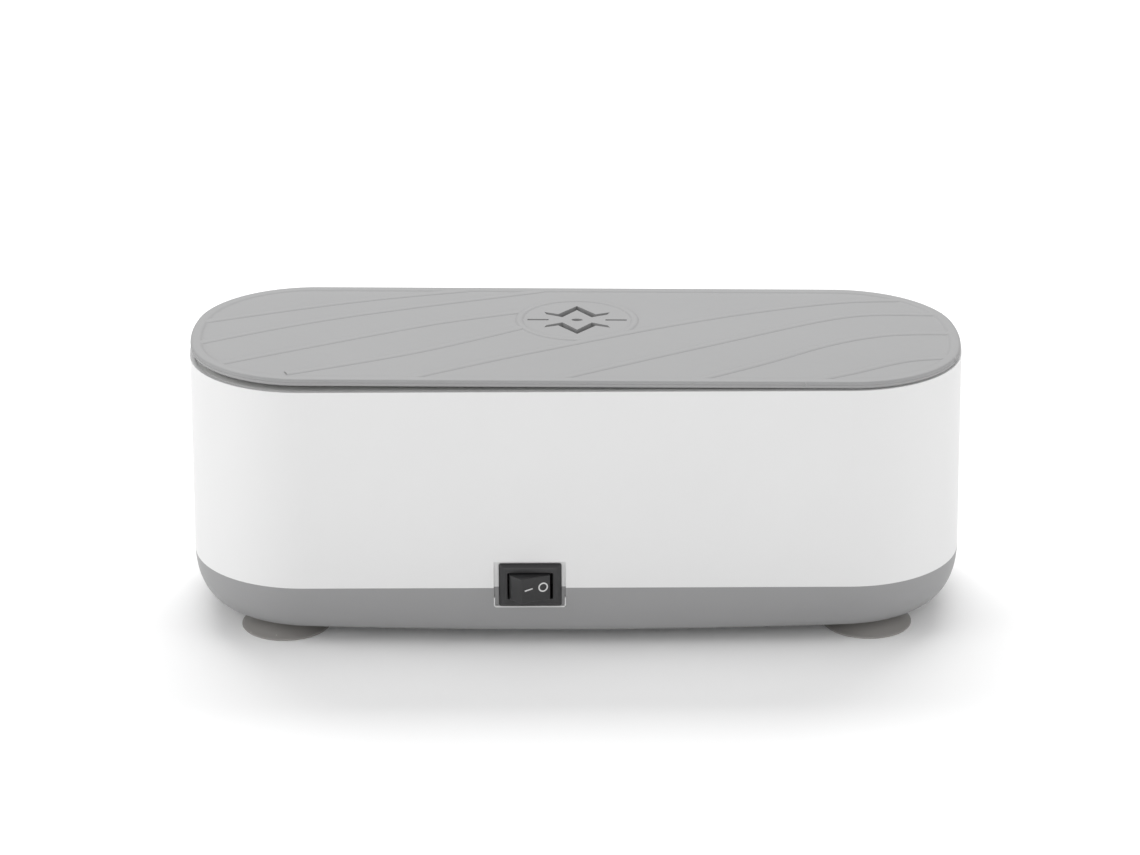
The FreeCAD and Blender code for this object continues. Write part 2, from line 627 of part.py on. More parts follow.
def switch_housing():
    spot = switch_frame()
    half_out = "(dims.window_length / 2 + dims.switch_wall)"
    half_up = "(dims.window_height / 2 + dims.switch_wall)"
    bezel = box("bezel_block",
                ("dims.switch_x - dims.bezel_length / 2",
                 "-dims.switch_face - dims.bezel_thick",
                 "dims.switch_z - dims.bezel_height / 2"),
                ("dims.bezel_length", "dims.bezel_thick", "dims.bezel_height"))
    doc.recompute()
    front = bezel.Shape.BoundBox.YMin
    edges = [index for index, edge in enumerate(bezel.Shape.Edges, start=1)
             if edge.BoundBox.YMax < front + 1e-3]
    bevel = doc.addObject("Part::Chamfer", "bezel_bevelled")
    bevel.Base = bezel
    bevel.Edges = [(index, dim("bezel_bevel"), dim("bezel_bevel")) for index in edges]
    barrel = box("housing_barrel",
                 (f"dims.switch_x - {half_out}", "-dims.switch_face",
                  f"dims.switch_z - {half_up}"),
                 (f"2 * {half_out}", "dims.switch_depth", f"2 * {half_up}"))
    window = box("housing_window",
                 ("dims.switch_x - dims.window_length / 2",
                  "-dims.switch_face - dims.bezel_thick - 1",
                  "dims.switch_z - dims.window_height / 2"),
                 ("dims.window_length",
                  "dims.bezel_thick + 1 + dims.switch_depth - dims.switch_wall",
                  "dims.window_height"))
    pin_hole = cylinder("trunnion_hole", (spot[0], spot[1],
                                          "dims.switch_z - dims.window_height / 2"
                                          " - dims.trunnion_length - dims.fit"),
                        "dims.trunnion_radius + dims.fit",
                        "dims.window_height + 2 * (dims.trunnion_length + dims.fit)")
    slots = [terminal_block(f"terminal_slot_{index}", offset, "dims.switch_depth", grow="0.05")
             for index, offset in enumerate(("0", "dims.load_offset"))]
    return node(cut("housing_cut", fuse("housing_solids", bevel, barrel), window, pin_hole,
                    *slots), "switch_housing")


def terminal_block(name, offset, top_depth, grow="0"):
    """A flat blade through the housing's floor; top_depth is its inner end, from the face."""
    inner = f"(-dims.switch_face + {top_depth})"
    if grow != "0":
        inner = "(-dims.switch_face + dims.switch_depth - dims.switch_wall - 0.5)"
    outer = "(-dims.switch_face + dims.switch_depth + dims.terminal_out)"
    return box(name,
               (f"dims.switch_x + {offset} - dims.terminal_thick / 2 - {grow}", inner,
                f"dims.switch_z - dims.terminal_height / 2 - {grow}"),
               (f"dims.terminal_thick + 2 * {grow}", f"{outer} - {inner}",
                f"dims.terminal_height + 2 * {grow}"))


def switch_terminals():
    common_depth = "dims.strip_pivot - dims.pivot_depth"
    load_depth = ("dims.strip_pivot - dims.pivot_depth"
                  " + dims.load_offset * tan(dims.strip_tilt) - dims.strip_thick / 2 + 0.3")
    node(terminal_block("common_blade", "0", common_depth), "switch_terminal_common")
    node(terminal_block("load_blade", "dims.load_offset", load_depth), "switch_terminal_load")


def rocker():
    body = new_body("rocker_body")
    sketch = sketch_on(body, "rocker_profile", "XY_Plane", "0")
    radius = dim("rocker_radius")
    low, shoulder = dim("rocker_depth"), dim("rocker_shoulder")
    peak_x, peak, valley = dim("rocker_peak_x"), dim("rocker_peak"), dim("rocker_valley")
    side_low = math.sqrt(radius ** 2 - low ** 2)
    side_high = math.sqrt(radius ** 2 - shoulder ** 2)
    start, stop = math.atan2(-low, side_low), math.atan2(shoulder, side_high)
    circle = Part.Circle(Vector(), Vector(0, 0, 1), radius)
    corners = [Vector(side_high, shoulder, 0), Vector(peak_x, peak, 0), Vector(0, valley, 0),
               Vector(-peak_x, peak, 0), Vector(-side_high, shoulder, 0)]
    sketch.addGeometry(Part.ArcOfCircle(circle, start, stop), False)
    sketch.addGeometry([Part.LineSegment(corners[i], corners[i + 1]) for i in range(4)], False)
    sketch.addGeometry(Part.ArcOfCircle(circle, math.pi - stop, math.pi - start), False)
    sketch.addGeometry(Part.LineSegment(Vector(-side_low, -low, 0), Vector(side_low, -low, 0)),
                       False)
    joins = ((0, 2, 1, 1), (1, 2, 2, 1), (2, 2, 3, 1), (3, 2, 4, 1), (4, 2, 5, 1), (5, 2, 6, 1),
             (6, 2, 0, 1))
    for join in joins:
        sketch.addConstraint(Sketcher.Constraint("Coincident", *join))
    for arc in (0, 5):
        sketch.addConstraint(Sketcher.Constraint("Coincident", arc, 3, -1, 1))
    constrain(sketch, "radius", "Radius", 0, radius, text="dims.rocker_radius")
    constrain(sketch, "low", "DistanceY", 6, 1, -1, 1, low, text="dims.rocker_depth")
    sketch.addConstraint(Sketcher.Constraint("Horizontal", 6))
    constrain(sketch, "shoulder", "DistanceY", -1, 1, 0, 2, shoulder, text="dims.rocker_shoulder")
    constrain(sketch, "shoulder_left", "DistanceY", -1, 1, 4, 2, shoulder,
              text="dims.rocker_shoulder")
    constrain(sketch, "peak_right_x", "DistanceX", -1, 1, 1, 2, peak_x, text="dims.rocker_peak_x")
    constrain(sketch, "peak_right", "DistanceY", -1, 1, 1, 2, peak, text="dims.rocker_peak")
    constrain(sketch, "peak_left_x", "DistanceX", 4, 1, -1, 1, peak_x, text="dims.rocker_peak_x")
    constrain(sketch, "peak_left", "DistanceY", -1, 1, 4, 1, peak, text="dims.rocker_peak")
    constrain(sketch, "valley", "DistanceY", -1, 1, 2, 2, valley, text="dims.rocker_valley")
    sketch.addConstraint(Sketcher.Constraint("PointOnObject", 2, 2, -2))
    doc.recompute()
    pad = body.newObject("PartDesign::Pad", "rocker_pad")
    pad.Profile = sketch
    pad.Midplane = True
    pad.setExpression("Length", "dims.window_height - 2 * dims.rocker_gap")
    doc.recompute()
    trunnion_run = "dims.window_height + 2 * dims.trunnion_length"
    pin = cylinder("trunnion", ("0", "0", f"-({trunnion_run}) / 2"), "dims.trunnion_radius",
                   trunnion_run)
    stem = cylinder("rocker_stem", ("0", "-dims.rocker_depth - dims.stem_length + 1.2", "0"),
                    "dims.stem_radius", "dims.stem_length - 0.6", "Y")
    bore = cylinder("stem_bore", ("0", "-dims.rocker_depth - dims.stem_length", "0"),
                    "dims.plunger_radius + dims.fit", "dims.stem_length", "Y")
    whole = cut("rocker_cut", fuse("rocker_solids", body, pin, stem), bore)
    seat_in_switch(whole, "dims.rocker_tilt")
    return node(whole, "rocker")


def seat_in_switch(part, tilt):
    """Turns a piece modelled with +Y outward so that it faces the front, tilted on the pivot."""
    facing = Rotation(Vector(0, 0, 1), 180 + value_of(tilt))
    spot = [value_of(text) for text in switch_frame()]
    part.Placement = Placement(Vector(*spot), facing)


def plunger():
    """The sprung pin inside the rocker's stem, with its round nose on the contact strip."""
    shank = cylinder("plunger_shank", ("0", "-dims.plunger_reach + dims.plunger_radius", "0"),
                     "dims.plunger_radius",
                     "dims.plunger_reach - dims.rocker_depth - dims.plunger_radius - 1.2", "Y")
    nose = doc.addObject("Part::Sphere", "plunger_nose")
    bind(nose, Radius="dims.plunger_radius")
    place(nose, "0", "-dims.plunger_reach + dims.plunger_radius", "0")
    whole = fuse("plunger_whole", shank, nose)
    seat_in_switch(whole, "dims.rocker_tilt")
    return node(whole, "switch_plunger")


def contact_strip():
    """The rocking strip: its rib rests on the common blade, and its right end meets the other."""
    low = "dims.strip_thick / 2 + 0.02"
    strip = box("strip", ("-dims.strip_length / 2", low, "-dims.strip_height / 2"),
                ("dims.strip_length", "dims.strip_thick", "dims.strip_height"))
    rib = box("strip_rib", ("-0.3", "0.06", "-dims.strip_height / 2"),
              ("0.6", "dims.strip_thick / 2", "dims.strip_height"))
    whole = fuse("strip_whole", strip, rib)
    spot = [value_of(text) for text in switch_frame("-dims.strip_pivot")]
    turn = Rotation(Vector(0, 0, 1), 180 - dim("strip_tilt"))
    whole.Placement = Placement(Vector(*spot), turn)
    return node(whole, "switch_contact_strip")


# ---------------------------------------------------------------- batteries

def cells():
    """Two cells side by side, nose to tail, each with its nub on a flat contact."""
    seat = "(dims.contact_thick + dims.contact_play)"
    right_start = (f"dims.bay_left + dims.bay_length - {seat} - dims.contact_play"
                   " - dims.cell_nub - dims.cell_length")
    left_start = f"dims.bay_left + {seat} + dims.contact_play + dims.cell_nub"
    for index, (face, start) in enumerate(((-1, right_start), (1, left_start))):
        spot = (f"{face} * dims.cell_pitch / 2", "dims.cell_axis_level")
        barrel = cylinder(f"cell_barrel_{index}", (start, *spot), "dims.cell_radius",
                          "dims.cell_length", "X")
        end = start + (" + dims.cell_length - 0.1" if face < 0 else " - dims.cell_nub")
        nub = cylinder(f"cell_nub_{index}", (end, *spot), "dims.cell_nub_radius",
                       "dims.cell_nub + 0.1", "X")
        node(fuse(f"cell_{index}", barrel, nub), f"battery_{index + 1}")


def contact_plate(name, left, face, with_tab):
    """A thin plate at one end of the bay, with a solder tab up through the roof where needed."""
    plate = box(name + "_plate",
                (left, f"{face} * dims.cell_pitch / 2 - dims.contact_half_width",
                 "dims.cell_axis_level - dims.contact_half_width"),
                ("dims.contact_thick", "2 * dims.contact_half_width",
                 "2 * dims.contact_half_width"))
    if not with_tab:
        return plate
    tab = box(name + "_tab",
              (left, f"{face} * dims.cell_pitch / 2 - dims.tab_half_width",
               "dims.cell_axis_level"),
              ("dims.contact_thick", "2 * dims.tab_half_width",
               "dims.tab_top - dims.cell_axis_level"))
    return fuse(name + "_whole", plate, tab)


def contacts():
    right = "dims.bay_left + dims.bay_length - dims.contact_thick - dims.contact_play"
    left = "dims.bay_left + dims.contact_play"
    node(contact_plate("positive", right, -1, True), "battery_contact_positive")
    node(contact_plate("negative", right, 1, True), "battery_contact_negative")
    bridge = box("bridge_strip", (left, "-dims.cell_pitch / 2", "dims.cell_axis_level - 2"),
                 ("dims.contact_thick", "dims.cell_pitch", "4"))
    ends = [contact_plate(f"bridge_{index}", left, face, False)
            for index, face in enumerate((-1, 1))]
    node(fuse("bridge_whole", bridge, *ends), "battery_contact_bridge")


def cell_springs():
    """The room that each wound spring takes between its contact and the flat end of a cell."""
    seat = "(dims.contact_thick + 2 * dims.contact_play)"
    reach = (f"(dims.bay_length - 2 * {seat} - dims.cell_length - dims.cell_nub"
             " - dims.contact_play)")
    starts = (f"dims.bay_left + {seat}", f"dims.bay_left + dims.bay_length - {seat} - {reach}")
    for index, (face, start) in enumerate(zip((-1, 1), starts)):
        foot = (start, f"{face} * dims.cell_pitch / 2", "dims.cell_axis_level")
        coil = cylinder(f"spring_outer_{index}", foot, "dims.spring_radius", reach, "X")
        hollow = cylinder(f"spring_inner_{index}", foot, "dims.spring_radius - dims.spring_wire",
                          reach, "X")
        node(cut(f"spring_{index}", coil, hollow), f"battery_spring_{index + 1}")


def battery_door():
    plate = box("door_plate",
                ("dims.door_left", "-dims.door_half_depth", "dims.base_level"),
                ("dims.door_right - dims.door_left", "2 * dims.door_half_depth",
                 "dims.door_thick"))
    spot = (DOOR_SCREW_X, "0")
    grip = box("door_grip", ("dims.door_left + 4", "-6", "dims.base_level - 1"),
               ("2.4", "12", "1.5"))
    sink = cylinder("door_sink", (*spot, "dims.base_level - 1"), "dims.screw_head + 0.1",
                    "1 + dims.door_thick * 0.55")
    way = cylinder("door_way", (*spot, "dims.base_level - 1"), "dims.screw_shank + 0.1",
                   "dims.door_thick + 2")
    node(cut("door_cut", plate, grip, sink, way), "battery_door")
    node(screw("door_screw_body", (*spot, "dims.base_level + dims.door_thick * 0.55"), 0.85,
               7.5), "door_screw")


DOOR_SCREW_X = "(dims.bay_left + dims.bay_length + dims.bay_wall + dims.door_right) / 2"


# ---------------------------------------------------------------- screws and feet

def screw(name, seat, head_height, length):
    """A pan-head screw pointing up, its head under the seat level."""
    body = turned(name, [
        ("0", f"-{head_height}"), ("dims.screw_head * 0.7", f"-{head_height}"),
        ("dims.screw_head", f"-{head_height} * 0.45"), ("dims.screw_head", "0"),
        ("dims.screw_shank", "0"), ("dims.screw_shank", f"{length} - 1.2"), ("0", f"{length}"),
    ], seat)
    slot = box(name + "_slot", (seat[0] + " - 0.35", seat[1] + " - 3",
                                f"{seat[2]} - {head_height} - 1"), ("0.7", "6", "1.4"))
    return cut(name + "_slotted", body, slot)


def case_screws():
    for index, (side, face) in enumerate(corner_signs(), start=1):
        seat = (f"{side} * dims.screw_x", f"{face} * dims.screw_y",
                "dims.base_level + dims.screw_head_height + 0.6")
        node(screw(f"case_screw_{index}_body", seat, 1.7, 11.5), f"case_screw_{index}")


def feet():
    for index, (side, face) in enumerate(corner_signs(), start=1):
        spot = (f"{side} * dims.foot_x", f"{face} * dims.foot_y", "0")
        floor_top = "dims.base_level + dims.base_floor"
        foot = turned(f"foot_body_{index}", [
            ("0", "1.6"), ("5.0", "1.3"), ("8.6", "0.5"), ("dims.foot_radius - 0.5", "0"),
            ("dims.foot_radius", "0"), ("dims.foot_radius", "dims.foot_rim"),
            ("8.2", "1.75"), ("5.0", "2.9"), ("4.4", "dims.base_level"),
            ("dims.foot_neck", "dims.base_level"), ("dims.foot_neck", floor_top),
            ("dims.foot_head", floor_top),
            ("dims.foot_head * 0.7", floor_top + " + dims.foot_head_height"),
            ("0", floor_top + " + dims.foot_head_height"),
        ], spot)
        node(foot, f"suction_foot_{index}")


# ---------------------------------------------------------------- motor

def can_profile(name, grow, left, length):
    """A round motor body with flats above and below, along X."""
    disc = cylinder(name + "_round", (left, "0", MOTOR_LEVEL), f"dims.motor_radius + {grow}",
                    length, "X")
    flats = box(name + "_flats", (left + " - 1", "-dims.motor_radius - 2",
                                  f"{MOTOR_LEVEL} - dims.motor_flat - {grow}"),
                (f"{length} + 2", "2 * dims.motor_radius + 4",
                 f"2 * (dims.motor_flat + {grow})"))
    return common(name, disc, flats)


MOTOR_LEVEL = "(dims.tank_floor_level - dims.motor_pad - dims.motor_flat)"


def motor():
    right = "dims.motor_left + dims.motor_length"
    can = can_profile("can_outer", "0", "dims.motor_left", "dims.motor_length")
    hollow = can_profile("can_hollow", "-dims.motor_wall", "dims.motor_left - 1",
                         "dims.motor_length + 1 - dims.motor_wall")
    boss = cylinder("can_boss", (right, "0", MOTOR_LEVEL), "dims.motor_boss_radius",
                    "dims.motor_boss", "X")
    bore = cylinder("can_bore", (right + " - 5", "0", MOTOR_LEVEL),
                    "dims.shaft_radius + dims.fit", "10", "X")
    node(cut("can_cut", fuse("can_solids", can, boss), hollow, bore), "motor_can")
    cap = can_profile("cap_outer", "0", "dims.motor_left - dims.motor_cap", "dims.motor_cap")
    cap_bore = cylinder("cap_bore", ("dims.motor_left - dims.motor_cap - 1", "0", MOTOR_LEVEL),
                        "dims.shaft_radius + dims.fit", "dims.motor_cap + 2", "X")
    tabs = []
    slots = []
    for index, face in enumerate((-1, 1)):
        corner = ("dims.motor_left - dims.motor_cap - 3", f"{face} * 6 - 1.2",
                  f"{MOTOR_LEVEL} - 0.25")
        tabs.append(box(f"motor_tab_{index}", corner, ("5", "2.4", "0.5")))
        slots.append(box(f"motor_tab_slot_{index}", corner, ("5.02", "2.4", "0.5")))
    node(cut("cap_cut", cap, cap_bore, *slots), "motor_end_cap")
    for index, tab in enumerate(tabs, start=1):
        node(tab, f"motor_terminal_{index}")
    shaft_left = "dims.motor_left - dims.motor_cap - 0.8"
    shaft_run = "dims.motor_length + dims.motor_cap + 0.8 + dims.motor_boss + dims.shaft_out"
    shaft = cylinder("shaft", (shaft_left, "0", MOTOR_LEVEL), "dims.shaft_radius", shaft_run,
                     "X")
    node(shaft, "motor_shaft")
    rotor = cut("rotor_cut",
                cylinder("rotor", ("dims.motor_left + 2.5", "0", MOTOR_LEVEL),
                         "dims.rotor_radius", "dims.motor_length - 6", "X"),
                cylinder("rotor_bore", ("dims.motor_left", "0", MOTOR_LEVEL),
                         "dims.shaft_radius", "dims.motor_length", "X"))
    node(rotor, "motor_rotor")
    weight_left = f"{right} + dims.motor_boss + dims.shaft_out - dims.weight_length - 1"
    weight_round = cylinder("weight_round", (weight_left, "0", MOTOR_LEVEL),
                            "dims.weight_radius", "dims.weight_length", "X")
    hub = cylinder("weight_hub", (weight_left, "0", MOTOR_LEVEL), "dims.shaft_radius + 1.4",
                   "dims.weight_length", "X")
    keep = box("weight_half", (weight_left + " - 1", "-dims.weight_radius - 1",
                               f"{MOTOR_LEVEL} - dims.weight_radius - 1"),
               ("dims.weight_length + 2", "2 * dims.weight_radius + 2",
                "dims.weight_radius + 1"))
    half = common("weight_sector", weight_round, keep)
    weight_bore = cylinder("weight_bore", (weight_left + " - 1", "0", MOTOR_LEVEL),
                           "dims.shaft_radius", "dims.weight_length + 2", "X")
    node(cut("weight_cut", fuse("weight_solids", half, hub), weight_bore), "eccentric_weight")


def motor_mount():
    middle = "dims.motor_left + dims.motor_length / 2"
    node(box("pad", (middle + " - 9", "-6", "dims.tank_floor_level - dims.motor_pad"),
             ("18", "12", "dims.motor_pad")), "motor_pad")
    left = middle + " - dims.clamp_width / 2"
    grow = "dims.clamp_thick + dims.fit"
    strap = can_profile("strap_outer", grow, left, "dims.clamp_width")
    inner = can_profile("strap_inner", "dims.fit", left + " - 1", "dims.clamp_width + 2")
    legs = box("strap_legs", (left, f"-dims.motor_radius - {grow}", MOTOR_LEVEL),
               ("dims.clamp_width", f"2 * (dims.motor_radius + {grow})",
                f"dims.clamp_ear_level + dims.clamp_thick - {MOTOR_LEVEL}"))
    legs_way = box("strap_way", (left + " - 1", "-dims.motor_radius - dims.fit", MOTOR_LEVEL),
                   ("dims.clamp_width + 2", "2 * (dims.motor_radius + dims.fit)", "20"))
    over = box("strap_over", (left + " - 1", "-dims.motor_radius - 5", MOTOR_LEVEL),
               ("dims.clamp_width + 2", "2 * dims.motor_radius + 10", "20"))
    lower = cut("strap_lower", strap, inner, over)
    upright = cut("strap_upright", legs, legs_way)
    ears, ways = [], []
    for index, face in enumerate((-1, 1)):
        edge = f"{face} * (dims.motor_radius + dims.fit + dims.clamp_ear / 2)"
        ears.append(box(f"ear_{index}", (left, f"{edge} - dims.clamp_ear / 2",
                                         "dims.clamp_ear_level"),
                        ("dims.clamp_width", "dims.clamp_ear", "dims.clamp_thick")))
        spot = (middle, f"{face} * (dims.motor_radius + dims.clamp_ear / 2 + 0.6)")
        ways.append(cylinder(f"ear_way_{index}", (*spot, "dims.clamp_ear_level - 1"),
                             "dims.screw_shank + 0.15", "4"))
        node(screw(f"clamp_screw_{index}_body", (*spot, "dims.clamp_ear_level"), 1.5, 4.4),
             f"clamp_screw_{index + 1}")
    node(cut("clamp_cut", fuse("clamp_solids", lower, upright, *ears), *ways), "motor_clamp")


# ---------------------------------------------------------------- leads

def rounded_path(points):
    """Straight runs joined by tangent arcs, each as large as its two runs allow."""
    edges = []
    here = points[0]
    for before, corner, after in zip(points, points[1:], points[2:]):
        first, second = (before - corner), (after - corner)
        turn = math.pi - first.getAngle(second)
        reach = 0.45 * min(first.Length, second.Length)
        start = corner + first.normalize() * reach
        stop = corner + second.normalize() * reach
        bisector = (first + second).normalize()
        radius = reach / math.tan(turn / 2)
        middle = corner + bisector * (radius / math.cos(turn / 2) - radius)
        edges.append(Part.LineSegment(here, start).toShape())
        edges.append(Part.Arc(start, middle, stop).toShape())
        here = stop
    edges.append(Part.LineSegment(here, points[-1]).toShape())
    return Part.Wire(edges)


def lead(label, points):
    part = doc.addObject("Part::Feature", label + "_tube")
    path = rounded_path([Vector(*point) for point in points])
    start = Vector(*points[0])
    along = (Vector(*points[1]) - start).normalize()
    radius = dim("lead_radius")
    section = Part.Wire(Part.Circle(start, along, radius).toShape())
    part.Shape = path.makePipeShell([section], True, True)
    expected = math.pi * radius ** 2 * path.Length
    if abs(part.Shape.Volume / expected - 1) > 0.02:
        raise ValueError(f"{label} is not a plain tube")
    return node(part, label)


def leads():
    tab_x = value_of("dims.bay_left + dims.bay_length - 0.05")
    cell_y = dim("cell_pitch") / 2
    tab_z = dim("tab_top") - 1.0
    switch_x, _, switch_z = [value_of(text) for text in switch_frame()]
    blade_y = value_of("-dims.switch_face + dims.switch_depth + dims.terminal_out") - 1.2
    load_x = value_of("dims.switch_x + dims.load_offset + dims.terminal_thick / 2")
    blade_top = switch_z + dim("terminal_height") / 2
    motor_x = value_of("dims.motor_left - dims.motor_cap - 3")
    motor_z = value_of(MOTOR_LEVEL)
    lead("lead_battery_switch", [
        (tab_x, -cell_y, tab_z), (tab_x + 5, -cell_y, tab_z), (tab_x + 4, -19.5, 25.2),
        (-4.0, blade_y, 25.4), (switch_x, blade_y, 24.4), (switch_x, blade_y, blade_top)])
    lead("lead_switch_motor", [
        (load_x, blade_y, switch_z), (6.0, blade_y, switch_z), (14.0, -14.0, 17.6),
        (20.0, -6.0, motor_z), (motor_x, -6.0, motor_z)])
    lead("lead_battery_motor", [
        (tab_x, cell_y, tab_z), (tab_x + 7, cell_y, tab_z), (tab_x + 16, 6.0, motor_z),
        (motor_x, 6.0, motor_z)])


# ---------------------------------------------------------------- whole

def write_nodes():
    doc.recompute()
    failed = [item.Name for item in doc.Objects
              if "Invalid" in item.State or "Error" in item.State]
    if failed:
        raise RuntimeError(f"features failed: {failed}")
    for part in NODES:
        if part.Shape.isNull() or not part.Shape.isValid():
            raise RuntimeError(f"{part.Label} has no valid shape")
    os.makedirs("parts", exist_ok=True)
    for part in NODES:
        part.Shape.exportStep(f"parts/{part.Label}.step")
        bounds = part.Shape.optimalBoundingBox()
        print(f"{part.Label:26s} {part.Shape.Volume / 1000:8.3f} cm3  "
              f"z {bounds.ZMin:6.2f} to {bounds.ZMax:6.2f}")


for make in (base_shell, body_shell, tank, tank_gasket, lid, switch_housing, switch_terminals,
             rocker, plunger, contact_strip, cells, contacts, cell_springs, battery_door,
             case_screws, feet, motor, motor_mount, leads):
    make()
write_nodes()
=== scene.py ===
import json
import math

import bmesh
import bpy
from mathutils import Matrix, Vector


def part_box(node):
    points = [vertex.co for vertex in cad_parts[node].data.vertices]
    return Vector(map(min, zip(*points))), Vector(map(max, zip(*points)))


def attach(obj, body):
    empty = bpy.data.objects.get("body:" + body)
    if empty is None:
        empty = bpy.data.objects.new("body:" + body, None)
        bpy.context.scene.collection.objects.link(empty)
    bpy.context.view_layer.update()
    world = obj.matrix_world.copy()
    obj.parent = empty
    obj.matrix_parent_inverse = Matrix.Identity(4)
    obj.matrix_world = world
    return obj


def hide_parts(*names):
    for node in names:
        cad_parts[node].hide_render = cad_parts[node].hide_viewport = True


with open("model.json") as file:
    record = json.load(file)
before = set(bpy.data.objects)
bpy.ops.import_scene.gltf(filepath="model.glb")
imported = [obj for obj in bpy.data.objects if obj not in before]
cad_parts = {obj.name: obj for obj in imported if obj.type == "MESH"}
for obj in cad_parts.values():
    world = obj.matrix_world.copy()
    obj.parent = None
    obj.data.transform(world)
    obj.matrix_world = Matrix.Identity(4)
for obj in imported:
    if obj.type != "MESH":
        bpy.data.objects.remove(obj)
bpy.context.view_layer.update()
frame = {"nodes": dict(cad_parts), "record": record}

# Sizes in metres. The case is a long oval with drafted walls over a rounded base.
MM = 0.001
SEAM_LENGTH, SEAM_DEPTH = 94.4 * MM, 34.55 * MM
RIM_LENGTH, RIM_DEPTH = 93.5 * MM, 33.7 * MM
CORNER_RADIUS, END_RADIUS = 28.5 * MM, 60.5 * MM
SIDE_RADIUS = 100.0
BASE_LEVEL, SEAM_LEVEL, RIM_LEVEL = 4.0 * MM, 16.2 * MM, 65.9 * MM
HULL_SIDE_INSET = 2.9


# ---------------------------------------------------------------- small tools

def new_object(name, mesh):
    piece = bpy.data.objects.new(name, mesh)
    bpy.context.scene.collection.objects.link(piece)
    return piece


def from_bmesh(name, shape, material, smooth_angle=35):
    """A finished plain mesh object from a bmesh, with smooth shading under an angle."""
    bmesh.ops.remove_doubles(shape, verts=shape.verts, dist=1e-7)
    bmesh.ops.recalc_face_normals(shape, faces=shape.faces)
    mesh = bpy.data.meshes.new(name)
    shape.to_mesh(mesh)
    shape.free()
    mesh.materials.append(material)
    piece = new_object(name, mesh)
    smooth(piece, smooth_angle)
    return piece


def smooth(piece, angle):
    """Smooth faces with sharp edges over an angle."""
    mesh = piece.data
    mesh.polygons.foreach_set("use_smooth", [True] * len(mesh.polygons))
    mesh.set_sharp_from_angle(angle=math.radians(angle))


def baked(piece):
    """Turns a piece with modifiers into a plain mesh."""
    graph = bpy.context.evaluated_depsgraph_get()
    mesh = bpy.data.meshes.new_from_object(piece.evaluated_get(graph))
    piece.modifiers.clear()
    old = piece.data
    piece.data = mesh
    bpy.data.meshes.remove(old)


def stack_rings(rings, close_low=True, close_high=True):
    """A skin through rings of equal point count, with flat caps."""
    shape = bmesh.new()
    rows = [[shape.verts.new(point) for point in ring] for ring in rings]
    count = len(rows[0])
    for low, high in zip(rows, rows[1:]):
        for i in range(count):
            j = (i + 1) % count
            shape.faces.new((low[i], low[j], high[j], high[i]))
    if close_low:
        shape.faces.new(list(reversed(rows[0])))
    if close_high:
        shape.faces.new(rows[-1])
    return shape


def circle_ring(centre, radius, level, steps):
    """A level circle of points round a centre."""
    turns = [2 * math.pi * k / steps for k in range(steps)]
    return [Vector((centre.x + radius * math.cos(turn), centre.y + radius * math.sin(turn),
                    level)) for turn in turns]


def cut_away(piece, cutter):
    """Cuts a solid out of a piece and removes the cutter."""
    modifier = piece.modifiers.new("cut", "BOOLEAN")
    modifier.operation = "DIFFERENCE"
    modifier.solver = "EXACT"
    modifier.object = cutter
    baked(piece)
    bpy.data.objects.remove(cutter)


# ---------------------------------------------------------------- outlines

def arc_points(centre, radius, start, stop, steps):
    return [(centre[0] + radius * math.cos(start + (stop - start) * k / steps),
             centre[1] + radius * math.sin(start + (stop - start) * k / steps))
            for k in range(steps)]


def oval(half_length, half_depth, corner, end, side, level):
    """A long oval of tangent arcs: bowed or straight sides, corners and flatter ends."""
    side_y, end_x = half_depth - side, half_length - end
    to_side, to_end = side - corner, end - corner
    span = math.hypot(end_x, side_y)
    along = (span ** 2 + to_side ** 2 - to_end ** 2) / (2 * span)
    across = math.sqrt(to_side ** 2 - along ** 2)
    ux, uy = end_x / span, -side_y / span
    cx = ux * along + uy * across
    cy = side_y + uy * along - ux * across
    side_turn = math.atan2(cy - side_y, cx)
    end_turn = math.atan2(cy, cx - end_x)
    pi = math.pi
    plan = arc_points((cx, cy), corner, end_turn, side_turn, 26)
    plan += arc_points((0, side_y), side, side_turn, pi - side_turn, 24)
    plan += arc_points((-cx, cy), corner, pi - side_turn, pi - end_turn, 26)
    plan += arc_points((-end_x, 0), end, pi - end_turn, pi + end_turn, 26)
    plan += arc_points((-cx, -cy), corner, pi + end_turn, pi + side_turn, 26)
    plan += arc_points((0, -side_y), side, pi + side_turn, 2 * pi - side_turn, 24)
    plan += arc_points((cx, -cy), corner, 2 * pi - side_turn, 2 * pi - end_turn, 26)
    plan += arc_points((end_x, 0), end, -end_turn, end_turn, 26)
    return [Vector((x, y, level)) for x, y in plan]


def case_ring(level, inset, rise=0.0):
    """The drafted case's outline at a level, moved inward by an inset and then raised."""
    share = (level - SEAM_LEVEL) / (RIM_LEVEL - SEAM_LEVEL)
    length = SEAM_LENGTH + (RIM_LENGTH - SEAM_LENGTH) * share - inset
    depth = SEAM_DEPTH + (RIM_DEPTH - SEAM_DEPTH) * share - inset
    return oval(length, depth, CORNER_RADIUS - inset, END_RADIUS - inset,
                SIDE_RADIUS - inset, level + rise)


# ---------------------------------------------------------------- materials

